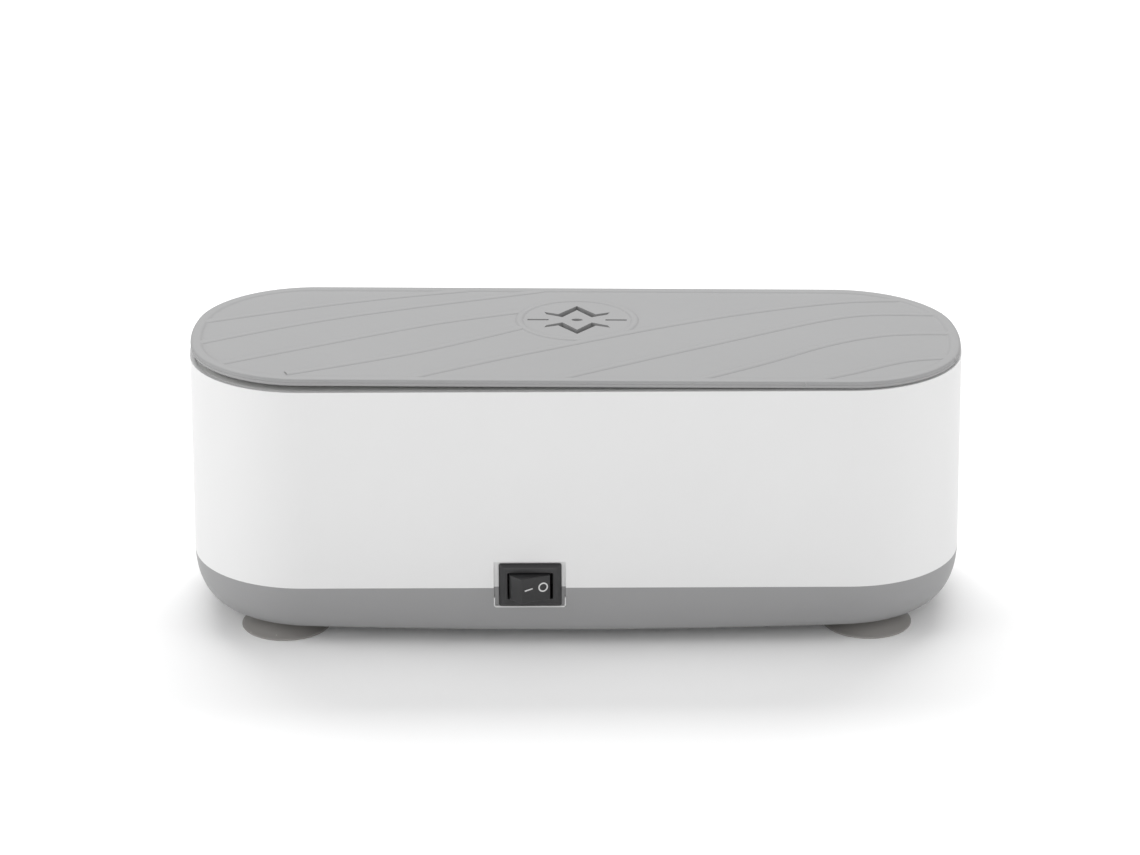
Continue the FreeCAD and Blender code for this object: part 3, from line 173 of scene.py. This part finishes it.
def fine_surface_group():
    """Moulded or rubbed surface: slow colour drift, fine grain height and varied roughness."""
    group = bpy.data.node_groups.new("fine_surface", "ShaderNodeTree")
    face = group.interface
    for name, kind, value in (("Colour", "NodeSocketColor", (0.5, 0.5, 0.5, 1)),
                              ("Drift", "NodeSocketFloat", 0.03),
                              ("Grain scale", "NodeSocketFloat", 3000.0),
                              ("Roughness", "NodeSocketFloat", 0.5),
                              ("Roughness drift", "NodeSocketFloat", 0.06),
                              ("Dust", "NodeSocketFloat", 0.0)):
        socket = face.new_socket(name=name, in_out="INPUT", socket_type=kind)
        socket.default_value = value
    for name, kind in (("Colour", "NodeSocketColor"), ("Roughness", "NodeSocketFloat"),
                       ("Height", "NodeSocketFloat")):
        face.new_socket(name=name, in_out="OUTPUT", socket_type=kind)
    nodes, links = group.nodes, group.links
    given = nodes.new("NodeGroupInput")
    out = nodes.new("NodeGroupOutput")
    place = nodes.new("ShaderNodeTexCoord")

    def noise(scale, detail):
        made = nodes.new("ShaderNodeTexNoise")
        made.inputs["Scale"].default_value = scale
        made.inputs["Detail"].default_value = detail
        links.new(place.outputs["Object"], made.inputs["Vector"])
        return made

    def maths(kind, first, second):
        made = nodes.new("ShaderNodeMath")
        made.operation = kind
        for index, item in enumerate((first, second)):
            if isinstance(item, (int, float)):
                made.inputs[index].default_value = item
            else:
                links.new(item, made.inputs[index])
        return made.outputs[0]

    slow, patchy = noise(38.0, 3.0), noise(420.0, 4.0)
    grain = nodes.new("ShaderNodeTexNoise")
    grain.inputs["Detail"].default_value = 2.0
    links.new(place.outputs["Object"], grain.inputs["Vector"])
    links.new(given.outputs["Grain scale"], grain.inputs["Scale"])
    centred = maths("SUBTRACT", slow.outputs["Fac"], 0.5)
    swing = maths("MULTIPLY", centred, given.outputs["Drift"])
    factor = maths("ADD", swing, 1.0)
    scaled = nodes.new("ShaderNodeVectorMath")
    scaled.operation = "SCALE"
    links.new(given.outputs["Colour"], scaled.inputs[0])
    links.new(factor, scaled.inputs["Scale"])
    specks = nodes.new("ShaderNodeTexVoronoi")
    specks.inputs["Scale"].default_value = 260.0
    links.new(place.outputs["Object"], specks.inputs["Vector"])
    small = maths("LESS_THAN", specks.outputs["Distance"], 0.045)
    dusted = maths("MULTIPLY", small, given.outputs["Dust"])
    mix = nodes.new("ShaderNodeMix")
    mix.data_type = "RGBA"
    links.new(dusted, mix.inputs["Factor"])
    links.new(scaled.outputs["Vector"], mix.inputs["A"])
    mix.inputs["B"].default_value = (0.75, 0.74, 0.72, 1)
    links.new(mix.outputs["Result"], out.inputs["Colour"])
    rough = maths("MULTIPLY", maths("SUBTRACT", patchy.outputs["Fac"], 0.5),
                  given.outputs["Roughness drift"])
    links.new(maths("ADD", rough, given.outputs["Roughness"]), out.inputs["Roughness"])
    links.new(grain.outputs["Fac"], out.inputs["Height"])
    return group


FINE_SURFACE = fine_surface_group()


def finish_material(name, colour, roughness, metallic=0.0, drift=0.04, grain=3000.0,
                    height=0.015, dust=0.0, coat=0.0):
    """A procedural finish: one fine surface group feeding a Principled shader."""
    material = bpy.data.materials.new(name)
    material.use_nodes = True
    nodes, links = material.node_tree.nodes, material.node_tree.links
    shader = nodes["Principled BSDF"]
    shader.inputs["Metallic"].default_value = metallic
    shader.inputs["Coat Weight"].default_value = coat
    shader.inputs["Coat Roughness"].default_value = 0.2
    surface = nodes.new("ShaderNodeGroup")
    surface.node_tree = FINE_SURFACE
    surface.inputs["Colour"].default_value = (*colour, 1)
    surface.inputs["Drift"].default_value = drift
    surface.inputs["Grain scale"].default_value = grain
    surface.inputs["Roughness"].default_value = roughness
    surface.inputs["Roughness drift"].default_value = 0.08
    surface.inputs["Dust"].default_value = dust
    bump = nodes.new("ShaderNodeBump")
    bump.inputs["Strength"].default_value = 0.35
    bump.inputs["Distance"].default_value = height * MM
    links.new(surface.outputs["Colour"], shader.inputs["Base Color"])
    links.new(surface.outputs["Roughness"], shader.inputs["Roughness"])
    links.new(surface.outputs["Height"], bump.inputs["Height"])
    links.new(bump.outputs["Normal"], shader.inputs["Normal"])
    return material


MATERIALS = {
    "case_white": finish_material("case_white", (0.70, 0.70, 0.70), 0.38, drift=0.02,
                                  grain=2600.0, height=0.01),
    "base_grey": finish_material("base_grey", (0.27, 0.27, 0.273), 0.45, drift=0.04,
                                 grain=2400.0, height=0.015),
    "lid_grey": finish_material("lid_grey", (0.30, 0.30, 0.302), 0.62, drift=0.05,
                                grain=2200.0, height=0.03),
    "tank_white": finish_material("tank_white", (0.78, 0.78, 0.77), 0.22, drift=0.02, coat=0.2),
    "gasket_rubber": finish_material("gasket_rubber", (0.03, 0.03, 0.03), 0.7),
    "foot_rubber": finish_material("foot_rubber", (0.265, 0.255, 0.245), 0.42, drift=0.12,
                                   grain=1500.0, height=0.03, dust=0.3),
    "switch_black": finish_material("switch_black", (0.022, 0.022, 0.023), 0.42, drift=0.1,
                                    grain=4200.0, height=0.02),
    "rocker_black": finish_material("rocker_black", (0.018, 0.018, 0.019), 0.36, drift=0.1,
                                    grain=4200.0, height=0.015),
    "mark_white": finish_material("mark_white", (0.62, 0.62, 0.62), 0.5),
    "contact_metal": finish_material("contact_metal", (0.75, 0.58, 0.30), 0.3, metallic=1.0),
    "spring_steel": finish_material("spring_steel", (0.62, 0.62, 0.60), 0.28, metallic=1.0),
    "screw_steel": finish_material("screw_steel", (0.50, 0.50, 0.50), 0.32, metallic=1.0),
    "motor_steel": finish_material("motor_steel", (0.55, 0.55, 0.55), 0.35, metallic=1.0),
    "motor_plastic": finish_material("motor_plastic", (0.80, 0.79, 0.72), 0.5),
    "weight_brass": finish_material("weight_brass", (0.68, 0.52, 0.25), 0.3, metallic=1.0),
    "cell_jacket": finish_material("cell_jacket", (0.03, 0.14, 0.10), 0.3, coat=0.5),
    "lead_red": finish_material("lead_red", (0.45, 0.02, 0.02), 0.4),
    "lead_black": finish_material("lead_black", (0.015, 0.015, 0.015), 0.4),
}


def paint_cad_nodes():
    """Every CAD node that stays in view gets the finish of its own slot."""
    slots = {item["node"]: item["material_slot"] for item in frame["record"]["subparts"]}
    for name, piece in frame["nodes"].items():
        finish = MATERIALS[slots[name]]
        for place in piece.material_slots:
            place.material = finish


# ---------------------------------------------------------------- lid

LID_SEAT = RIM_LEVEL + 0.1 * MM
LID_TOP = LID_SEAT + 1.75 * MM
LID_FIELD = LID_SEAT + 1.35 * MM
LID_INSET = 0.25 * MM
LID_TILT = math.radians(0.52)
SKIRT_INSET, SKIRT_THICK, SKIRT_DEPTH = 7.35 * MM, 1.5 * MM, 3.2 * MM
RIB_SINK = 0.33 * MM
RING_CENTRE = Vector((0.35, 10.3, 0)) * MM
RING_OUTER, RING_INNER = 15.15 * MM, 13.25 * MM

# Plan points of each rib, from the front or the left end towards the back or the right end.
RIB_PATHS = (
    ((-91.4, 7.3), (-82.0, 11.7), (-68.0, 18.1), (-53.0, 24.2), (-36.0, 29.6), (-24.0, 32.6)),
    ((-91.0, -7.9), (-79.5, -0.4), (-65.0, 8.1), (-50.0, 15.2), (-32.0, 22.6), (-6.0, 32.6)),
    ((-85.0, -22.2), (-69.6, -12.9), (-56.0, -4.9), (-42.8, 2.9), (-30.0, 9.8), (-13.6, 16.0)),
    ((-68.2, -28.5), (-52.7, -21.0), (-37.0, -12.5), (-24.2, -3.6), (-13.2, 4.4)),
    ((-41.0, -32.2), (-24.3, -20.9), (-3.0, -8.1), (23.7, 7.5), (45.8, 17.9), (63.9, 24.2),
     (74.0, 25.9), (82.0, 25.8)),
    ((-6.0, -32.2), (17.4, -16.5), (34.8, -5.4), (53.9, 7.2), (66.0, 13.9), (76.1, 16.2),
     (90.6, 15.2)),
    ((26.5, -32.4), (43.7, -20.7), (58.0, -8.3), (69.0, -1.6), (80.0, 2.0), (92.0, 1.6)),
    ((53.0, -32.4), (64.0, -27.0), (74.3, -19.7), (82.0, -16.0), (90.5, -15.4)),
)


def lid_tilt():
    """The lid rests on its right end with its left end a little high."""
    line = Vector((RIM_LENGTH - LID_INSET, 0, LID_SEAT))
    turn = Matrix.Rotation(LID_TILT, 4, "Y")
    return Matrix.Translation(line) @ turn @ Matrix.Translation(-line)


LID_PLACE = lid_tilt()


def lid_rings(steps):
    """Rings of the lid's skin; each step is a height over the seat and an inset, in mm."""
    return [case_ring(LID_SEAT, LID_INSET + inset * MM, rise * MM) for rise, inset in steps]


def lid_plate():
    """The plate: a rounded edge with a fine parting line, a raised border, the cut vent."""
    steps = ((0.0, 1.2), (0.0, 0.5), (0.08, 0.2), (0.3, 0.04), (0.45, 0.0), (0.86, 0.0),
             (0.92, 0.07), (0.98, 0.0), (1.15, 0.0), (1.38, 0.06), (1.58, 0.2), (1.7, 0.42),
             (1.75, 0.8), (1.75, 1.9), (1.73, 2.15), (1.66, 2.4), (1.54, 2.62), (1.44, 2.78),
             (1.38, 2.95), (1.35, 3.2), (1.35, 4.4))
    plate = from_bmesh("lid_plate", stack_rings(lid_rings(steps)), MATERIALS["lid_grey"], 50)
    cut_away(plate, vent_cutter())
    plate.data.transform(LID_PLACE)
    smooth(plate, 40)
    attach(plate, "lid")
    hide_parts("lid")


def lid_skirt():
    """The locating wall under the lid, inside the tank's mouth."""
    outer, inner = SKIRT_INSET, SKIRT_INSET + SKIRT_THICK
    low, high = -SKIRT_DEPTH, 0.05 * MM
    edge, lead = 0.2 * MM, 0.3 * MM
    rings = [case_ring(LID_SEAT, inset, rise) for inset, rise in
             ((outer, high), (outer, low + lead), (outer + edge, low),
              (inner - edge, low), (inner, low + lead), (inner, high))]
    rings.append(rings[0])
    skirt = from_bmesh("lid_skirt", stack_rings(rings, False, False), MATERIALS["lid_grey"], 50)
    skirt.data.transform(LID_PLACE)
    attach(skirt, "lid")


def vent_cutter():
    """A sparkle of straight slots: two chevrons with turned-out feet, two dashes, a hole."""
    shape = bmesh.new()

    def prism(points):
        low = [shape.verts.new((x, y, LID_SEAT - MM)) for x, y in points]
        high = [shape.verts.new((x, y, LID_TOP + MM)) for x, y in points]
        count = len(points)
        shape.faces.new(list(reversed(low)))
        shape.faces.new(high)
        for i in range(count):
            j = (i + 1) % count
            shape.faces.new((low[i], low[j], high[j], high[i]))

    cx, cy = RING_CENTRE.x, RING_CENTRE.y
    outer = ((0, 10.2), (4.6, 4.15), (8.1, 5.6), (7.5, 4.0), (3.6, 1.9), (0, 7.2))
    for up in (1, -1):
        half = [(x, up * y) for x, y in outer]
        loop = half + [(-x, y) for x, y in half[-2:0:-1]]
        if up < 0:
            loop.reverse()
        prism([(cx + x * MM, cy + y * MM) for x, y in reversed(loop)])
    dash_ends, half_dash = (7.0, 12.2), 0.45 * MM
    for side in (-1, 1):
        left, right = sorted(cx + side * x * MM for x in dash_ends)
        prism([(left, cy - half_dash), (right, cy - half_dash), (right, cy + half_dash),
               (left, cy + half_dash)])
    prism([(cx + 1.4 * MM * math.cos(2 * math.pi * k / 28),
            cy + 0.85 * MM * math.sin(2 * math.pi * k / 28)) for k in range(28)])
    bmesh.ops.recalc_face_normals(shape, faces=shape.faces)
    mesh = bpy.data.meshes.new("vent_cutter")
    shape.to_mesh(mesh)
    shape.free()
    return new_object("vent_cutter", mesh)


def swept_rib_tree():
    """Geometry nodes: sweeps a low soft ridge, half sunk in the lid, along every curve."""
    tree = bpy.data.node_groups.new("swept_rib", "GeometryNodeTree")
    face = tree.interface
    face.new_socket(name="Paths", in_out="INPUT", socket_type="NodeSocketGeometry")
    for name, value in (("Half width", 1.5 * MM), ("Half height", 0.7 * MM)):
        face.new_socket(name=name, in_out="INPUT",
                        socket_type="NodeSocketFloat").default_value = value
    face.new_socket(name="Finish", in_out="INPUT", socket_type="NodeSocketMaterial")
    face.new_socket(name="Geometry", in_out="OUTPUT", socket_type="NodeSocketGeometry")
    nodes, links = tree.nodes, tree.links
    given = nodes.new("NodeGroupInput")
    out = nodes.new("NodeGroupOutput")
    resample = nodes.new("GeometryNodeResampleCurve")
    resample.inputs["Count"].default_value = 90
    profile = nodes.new("GeometryNodeCurvePrimitiveCircle")
    profile.inputs["Resolution"].default_value = 32
    profile.inputs["Radius"].default_value = 1.0
    size = nodes.new("ShaderNodeCombineXYZ")
    size.inputs["Z"].default_value = 1.0
    flatten = nodes.new("GeometryNodeTransform")
    sweep = nodes.new("GeometryNodeCurveToMesh")
    sweep.inputs["Fill Caps"].default_value = True
    realize = nodes.new("GeometryNodeRealizeInstances")
    paint = nodes.new("GeometryNodeSetMaterial")
    links.new(given.outputs["Paths"], resample.inputs["Curve"])
    links.new(given.outputs["Half width"], size.inputs["X"])
    links.new(given.outputs["Half height"], size.inputs["Y"])
    links.new(profile.outputs["Curve"], flatten.inputs["Geometry"])
    links.new(size.outputs["Vector"], flatten.inputs["Scale"])
    links.new(resample.outputs["Curve"], sweep.inputs["Curve"])
    links.new(flatten.outputs["Geometry"], sweep.inputs["Profile Curve"])
    links.new(sweep.outputs["Mesh"], realize.inputs["Geometry"])
    links.new(realize.outputs["Geometry"], paint.inputs["Geometry"])
    links.new(given.outputs["Finish"], paint.inputs["Material"])
    links.new(paint.outputs["Geometry"], out.inputs["Geometry"])
    return tree


def run_tree(piece, tree, **values):
    """Runs a geometry tree on an object and keeps only its result."""
    modifier = piece.modifiers.new("shape", "NODES")
    modifier.node_group = tree
    for item in tree.interface.items_tree:
        key = item.name.lower().replace(" ", "_")
        if item.in_out == "INPUT" and key in values:
            modifier[item.identifier] = values[key]
    graph = bpy.context.evaluated_depsgraph_get()
    mesh = bpy.data.meshes.new_from_object(piece.evaluated_get(graph))
    made = new_object(piece.name + "_made", mesh)
    bpy.data.objects.remove(piece)
    return made


def path_curve(name, paths, level):
    """Smooth curves through the lid's plan, as one object."""
    curve = bpy.data.curves.new(name, "CURVE")
    curve.dimensions = "3D"
    curve.resolution_u = 12
    for points in paths:
        spline = curve.splines.new("NURBS")
        spline.points.add(len(points) - 1)
        for point, (x, y) in zip(spline.points, points):
            point.co = (x * MM, y * MM, level, 1)
        spline.order_u = 3
        spline.use_endpoint_u = True
    piece = bpy.data.objects.new(name, curve)
    bpy.context.scene.collection.objects.link(piece)
    return piece


def lid_ribs():
    """All the ribs as one plain mesh on the lid's field."""
    paths = path_curve("lid_ribs", RIB_PATHS, LID_FIELD - RIB_SINK)
    ribs = run_tree(paths, swept_rib_tree(), finish=MATERIALS["lid_grey"])
    ribs.name = "lid_ribs"
    smooth(ribs, 40)
    ribs.data.transform(LID_PLACE)
    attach(ribs, "lid")


def lid_ring():
    """The round band round the vent, with rounded edges."""
    profile = ((RING_INNER - 0.2 * MM, -0.1), (RING_INNER, 0.03), (RING_INNER + 0.25 * MM, 0.19),
               (RING_INNER + 0.5 * MM, 0.27), (RING_INNER + 0.8 * MM, 0.3),
               (RING_OUTER - 0.8 * MM, 0.3), (RING_OUTER - 0.5 * MM, 0.27),
               (RING_OUTER - 0.25 * MM, 0.19), (RING_OUTER, 0.03), (RING_OUTER + 0.2 * MM, -0.1))
    rings = [circle_ring(RING_CENTRE, radius, LID_FIELD + rise * MM, 96)
             for radius, rise in (*profile, profile[0])]
    ring = from_bmesh("lid_ring", stack_rings(rings, False, False), MATERIALS["lid_grey"], 60)
    ring.data.transform(LID_PLACE)
    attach(ring, "lid")


# ---------------------------------------------------------------- switch

SWITCH_X, SWITCH_Z, SWITCH_FACE = -11.1 * MM, 16.85 * MM, 33.75 * MM
PIVOT = Vector((SWITCH_X, -33.8 * MM, SWITCH_Z))


def frame_ring(half_length, half_height, corner, outward, steps=4):
    """A rounded rectangle facing the front, given in mm; outward is measured from the pocket."""
    points = []
    for quarter, (sx, sz) in enumerate(((1, 1), (-1, 1), (-1, -1), (1, -1))):
        for step in range(steps + 1):
            angle = math.pi / 2 * (quarter + step / steps)
            x = sx * (half_length - corner) + corner * math.cos(angle)
            z = sz * (half_height - corner) + corner * math.sin(angle)
            points.append(Vector((SWITCH_X + x * MM, -SWITCH_FACE - outward * MM,
                                  SWITCH_Z + z * MM)))
    return points


def switch_housing():
    """Barrel, bevelled bezel and window as one closed skin."""
    rings = [frame_ring(*size) for size in (
        (6.35, 4.3, 0.3, -8.2), (6.35, 4.3, 0.3, 0.0), (7.42, 5.4, 0.45, 0.0),
        (7.5, 5.475, 0.5, 0.08), (7.5, 5.475, 0.5, 0.42), (7.4, 5.37, 0.45, 0.58),
        (6.72, 4.7, 0.3, 1.14), (6.6, 4.58, 0.28, 1.22), (6.4, 4.38, 0.25, 1.27),
        (5.7, 3.62, 0.3, 1.32), (5.5, 3.43, 0.3, 1.3), (5.4, 3.34, 0.3, 1.2),
        (5.375, 3.325, 0.3, 1.0), (5.375, 3.325, 0.3, -7.2))]
    housing = from_bmesh("switch_frame", stack_rings(rings), MATERIALS["switch_black"], 32)
    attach(housing, "housing")
    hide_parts("switch_housing")


# The rocker's own sizes are in mm, in its own frame, with its face towards +Y.
ROCKER_RADIUS, ROCKER_HALF_HEIGHT = 5.15, 3.145
ROCKER_LOW, ROCKER_SHOULDER = -1.2, 0.3
ROCKER_PEAK, ROCKER_VALLEY = (3.65, 3.6), 3.3
ROCKER_TILT = 22
STEM_RADIUS, STEM_LENGTH, STEM_MIDDLE = 1.3, 2.8, -2.1


def rocker_place():
    """At rest the ring half of the rocker is pressed in."""
    return Matrix.Translation(PIVOT) @ Matrix.Rotation(math.radians(180 + ROCKER_TILT), 4, "Z")


def rocker():
    """A shallow V face between two flat ends, with short round flanks and a stem behind."""
    radius = ROCKER_RADIUS
    start, stop = math.asin(ROCKER_LOW / radius), math.asin(ROCKER_SHOULDER / radius)
    turns = [start + (stop - start) * k / 4 for k in range(5)]
    half_line = [(radius * math.cos(turn), radius * math.sin(turn)) for turn in turns]
    half_line.append(ROCKER_PEAK)
    outline = half_line + [(0.0, ROCKER_VALLEY)] + [(-x, y) for x, y in reversed(half_line)]
    shape = stack_rings([[Vector((x, y, z)) * MM for x, y in outline]
                         for z in (-ROCKER_HALF_HEIGHT, ROCKER_HALF_HEIGHT)])
    stem = bmesh.ops.create_cone(shape, cap_ends=True, segments=32, radius1=STEM_RADIUS * MM,
                                 radius2=STEM_RADIUS * MM, depth=STEM_LENGTH * MM)["verts"]
    bmesh.ops.rotate(shape, verts=stem, matrix=Matrix.Rotation(math.pi / 2, 3, "X"))
    bmesh.ops.translate(shape, verts=stem, vec=(0, STEM_MIDDLE * MM, 0))
    piece = from_bmesh("rocker_cap", shape, MATERIALS["rocker_black"], 30)
    bevel = piece.modifiers.new("edges", "BEVEL")
    bevel.width = 0.14 * MM
    bevel.segments = 3
    bevel.limit_method = "ANGLE"
    bevel.angle_limit = math.radians(6)
    baked(piece)
    piece.data.transform(rocker_place())
    smooth(piece, 35)
    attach(piece, "rocker")
    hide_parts("rocker")


def face_spot(along, height):
    """A point on the rocker's shallow V face, in its own frame, and that half's slope."""
    slope = (ROCKER_PEAK[1] - ROCKER_VALLEY) / ROCKER_PEAK[0]
    return Vector((along, ROCKER_VALLEY + slope * abs(along), height)), math.copysign(slope, along)


def rocker_marks():
    """A short bar for on and a ring for off, printed on the two halves of the face."""
    shape = bmesh.new()
    bar, slope = face_spot(1.75, 0.2)
    turn = math.radians(-7)
    half_bar, half_stroke = 1.05, 0.17
    corners = []
    for sx, sz in ((-1, -1), (1, -1), (1, 1), (-1, 1)):
        x, z = sx * half_bar, sz * half_stroke
        along = x * math.cos(turn) - z * math.sin(turn)
        up = x * math.sin(turn) + z * math.cos(turn)
        corners.append(Vector((bar.x + along, bar.y + slope * along, bar.z + up)))
    print_patch(shape, corners)
    ring, slope = face_spot(-1.95, 0.3)
    inner, outer, steps = 0.86, 1.2, 40
    for k in range(steps):
        quad = []
        for radius, index in ((inner, k), (outer, k), (outer, k + 1), (inner, k + 1)):
            angle = 2 * math.pi * index / steps
            x, z = radius * math.cos(angle), radius * math.sin(angle)
            quad.append(Vector((ring.x + x, ring.y + slope * x, ring.z + z)))
        print_patch(shape, quad)
    piece = from_bmesh("rocker_marks", shape, MATERIALS["mark_white"], 30)
    thick = piece.modifiers.new("ink", "SOLIDIFY")
    thick.thickness = 0.03 * MM
    thick.offset = 0.0
    baked(piece)
    piece.data.transform(rocker_place())
    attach(piece, "rocker")


def print_patch(shape, quad):
    """Adds one flat face just above the rocker's face."""
    proud = Vector((0, 0.015, 0))
    shape.faces.new([shape.verts.new((point + proud) * MM) for point in quad])


def hull_depth(level):
    """Half depth of the base hull's long side, in mm, at a level in mm."""
    share = (SEAM_LEVEL / MM - level) / ((SEAM_LEVEL - BASE_LEVEL) / MM)
    return SEAM_DEPTH / MM - HULL_SIDE_INSET * (1 - math.sqrt(max(0.0, 1 - share * share)))


def pocket_trim():
    """A thin bead in the white case finish along the edge of the pocket, under and beside the
    switch; its white is a painted highlight for the lit ledge of the grey base.
    """
    path = ((-8.57, -3.2), (-8.57, -5.35), (-8.45, -5.6), (-8.2, -5.7), (0.0, -5.7),
            (8.0, -5.7), (8.25, -5.6), (8.37, -5.35), (8.37, -3.2))
    half, proud, pocket_floor, rings = 0.13, 0.08, 33.72, []
    for index, (x, z) in enumerate(path):
        before, after = path[max(index - 1, 0)], path[min(index + 1, len(path) - 1)]
        way = Vector((after[0] - before[0], 0, after[1] - before[1])).normalized()
        side = Vector((-way.z, 0, way.x)) * half
        spot = Vector((SWITCH_X / MM + x, 0, SWITCH_Z / MM + z))
        front = hull_depth(spot.z)
        section = ((1.0, pocket_floor), (1.0, front), (0.6, front + proud),
                   (-0.6, front + proud), (-1.0, front), (-1.0, pocket_floor))
        rings.append([(spot + side * share - Vector((0, depth, 0))) * MM
                      for share, depth in section])
    # The white case finish on this bead is a painted highlight standing in for light on the
    # pocket's ledge.
    bead = from_bmesh("pocket_trim", stack_rings(rings), MATERIALS["case_white"], 50)
    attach(bead, "housing")


# ---------------------------------------------------------------- cell springs

def coil_spring(name):
    """A wire coil that fills the CAD spring's box, wound along the cell's axis."""
    low, high = (Vector(corner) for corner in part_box(name))
    wire = 0.35 * MM
    middle = (low + high) / 2
    radius = (high.y - low.y) / 2 - wire
    start, stop = low.x + wire, high.x - wire
    turns, steps = 5, 24
    curve = bpy.data.curves.new(name + "_coil", "CURVE")
    curve.dimensions = "3D"
    curve.bevel_depth = wire
    curve.bevel_resolution = 2
    curve.use_fill_caps = True
    spline = curve.splines.new("POLY")
    count = turns * steps
    spline.points.add(count)
    for index, point in enumerate(spline.points):
        share = index / count
        angle = 2 * math.pi * turns * share
        point.co = (start + (stop - start) * share, middle.y + radius * math.cos(angle),
                    middle.z + radius * math.sin(angle), 1)
    holder = bpy.data.objects.new(name + "_path", curve)
    bpy.context.scene.collection.objects.link(holder)
    graph = bpy.context.evaluated_depsgraph_get()
    mesh = bpy.data.meshes.new_from_object(holder.evaluated_get(graph))
    bpy.data.objects.remove(holder)
    mesh.materials.clear()
    mesh.materials.append(MATERIALS["spring_steel"])
    coil = new_object(name + "_coil", mesh)
    smooth(coil, 60)
    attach(coil, "housing")
    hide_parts(name)


# ---------------------------------------------------------------- feet

FOOT_X, FOOT_Y = 71.0 * MM, 18.5 * MM


def suction_feet():
    """A thin bell of soft rubber on each foot, with a rolled rim and a stepped neck."""
    profile = ((0.01, 1.62), (3.0, 1.55), (6.2, 1.1), (8.8, 0.5), (10.2, 0.06), (10.55, 0.0),
               (10.82, 0.04), (10.95, 0.2), (10.93, 0.42), (10.75, 0.56), (10.3, 0.72),
               (9.4, 1.15), (8.3, 1.66), (6.9, 2.2), (5.6, 2.75), (4.75, 3.2), (4.42, 3.6),
               (4.4, 4.0), (2.0, 4.0), (2.0, 6.4), (3.3, 6.4), (3.25, 7.2), (2.3, 8.0),
               (0.01, 8.0))
    for index, (side, face) in enumerate(((-1, -1), (-1, 1), (1, -1), (1, 1)), start=1):
        centre = Vector((side * FOOT_X, face * FOOT_Y, 0))
        rings = [circle_ring(centre, radius * MM, level * MM, 72) for radius, level in profile]
        foot = from_bmesh(f"foot_cup_{index}", stack_rings(rings), MATERIALS["foot_rubber"], 40)
        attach(foot, "housing")
        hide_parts(f"suction_foot_{index}")


# ---------------------------------------------------------------- camera, floor and light

CAMERA_TARGET = Vector((-1.457, 0.0, 43.793)) * MM
CAMERA_DISTANCE = 818.8 * MM
CAMERA_ELEVATION, CAMERA_AZIMUTH, CAMERA_ROLL = 21.395, 0.014, -0.215
CAMERA_LENS = 105.27


def camera():
    """The camera, at CAMERA_DISTANCE from CAMERA_TARGET."""
    data = bpy.data.cameras.new("camera")
    data.lens = CAMERA_LENS
    data.sensor_width = 36.0
    data.clip_start = 0.05
    data.clip_end = 20.0
    holder = bpy.data.objects.new("camera", data)
    bpy.context.scene.collection.objects.link(holder)
    up_angle, round_angle = math.radians(CAMERA_ELEVATION), math.radians(CAMERA_AZIMUTH)
    back = Vector((math.sin(round_angle) * math.cos(up_angle),
                   -math.cos(round_angle) * math.cos(up_angle), math.sin(up_angle)))
    right = Vector((0, 0, 1)).cross(back).normalized()
    up = back.cross(right)
    roll = math.radians(CAMERA_ROLL)
    rolled_right = right * math.cos(roll) + up * math.sin(roll)
    rolled_up = up * math.cos(roll) - right * math.sin(roll)
    turn = Matrix((rolled_right, rolled_up, back)).transposed()
    spot = CAMERA_TARGET + back * CAMERA_DISTANCE
    holder.matrix_world = Matrix.Translation(spot) @ turn.to_4x4()
    bpy.context.scene.camera = holder


def floor():
    """A plain pale floor."""
    shape = bmesh.new()
    bmesh.ops.create_grid(shape, x_segments=1, y_segments=1, size=6.0)
    material = bpy.data.materials.new("floor_white")
    material.use_nodes = True
    shader = material.node_tree.nodes["Principled BSDF"]
    shader.inputs["Base Color"].default_value = (0.92, 0.92, 0.92, 1)
    shader.inputs["Roughness"].default_value = 0.9
    piece = from_bmesh("floor", shape, material)


LIGHT_AIM = Vector((0, 0, 0.03))


def area_light(name, spot, size, power):
    """A soft rectangle of light that faces the middle of the base."""
    data = bpy.data.lights.new(name, "AREA")
    data.shape = "RECTANGLE"
    data.size, data.size_y = size
    data.energy = power
    lamp = bpy.data.objects.new(name, data)
    bpy.context.scene.collection.objects.link(lamp)
    aim = LIGHT_AIM - Vector(spot)
    lamp.rotation_euler = aim.to_track_quat("-Z", "Y").to_euler()
    lamp.location = spot


def lights():
    """Even studio light, a little stronger from above and behind."""
    world = bpy.data.worlds.new("studio")
    world.use_nodes = True
    world.node_tree.nodes["Background"].inputs["Color"].default_value = (1, 1, 1, 1)
    world.node_tree.nodes["Background"].inputs["Strength"].default_value = 0.45
    bpy.context.scene.world = world
    bpy.context.scene.view_settings.view_transform = "Standard"
    area_light("back_light", (0.0, 0.66, 0.98), (1.2, 0.5), 11.2)
    area_light("left_light", (-1.0, -0.25, 0.5), (0.7, 0.8), 4.6)
    area_light("right_light", (1.0, -0.25, 0.5), (0.7, 0.8), 3.2)
    area_light("front_light", (0.0, -1.3, 0.6), (1.2, 0.7), 5.0)


# ---------------------------------------------------------------- build

paint_cad_nodes()
lid_plate()
lid_skirt()
lid_ribs()
lid_ring()
switch_housing()
rocker()
rocker_marks()
pocket_trim()
for spring in ("battery_spring_1", "battery_spring_2"):
    coil_spring(spring)
suction_feet()
camera()
floor()
lights()
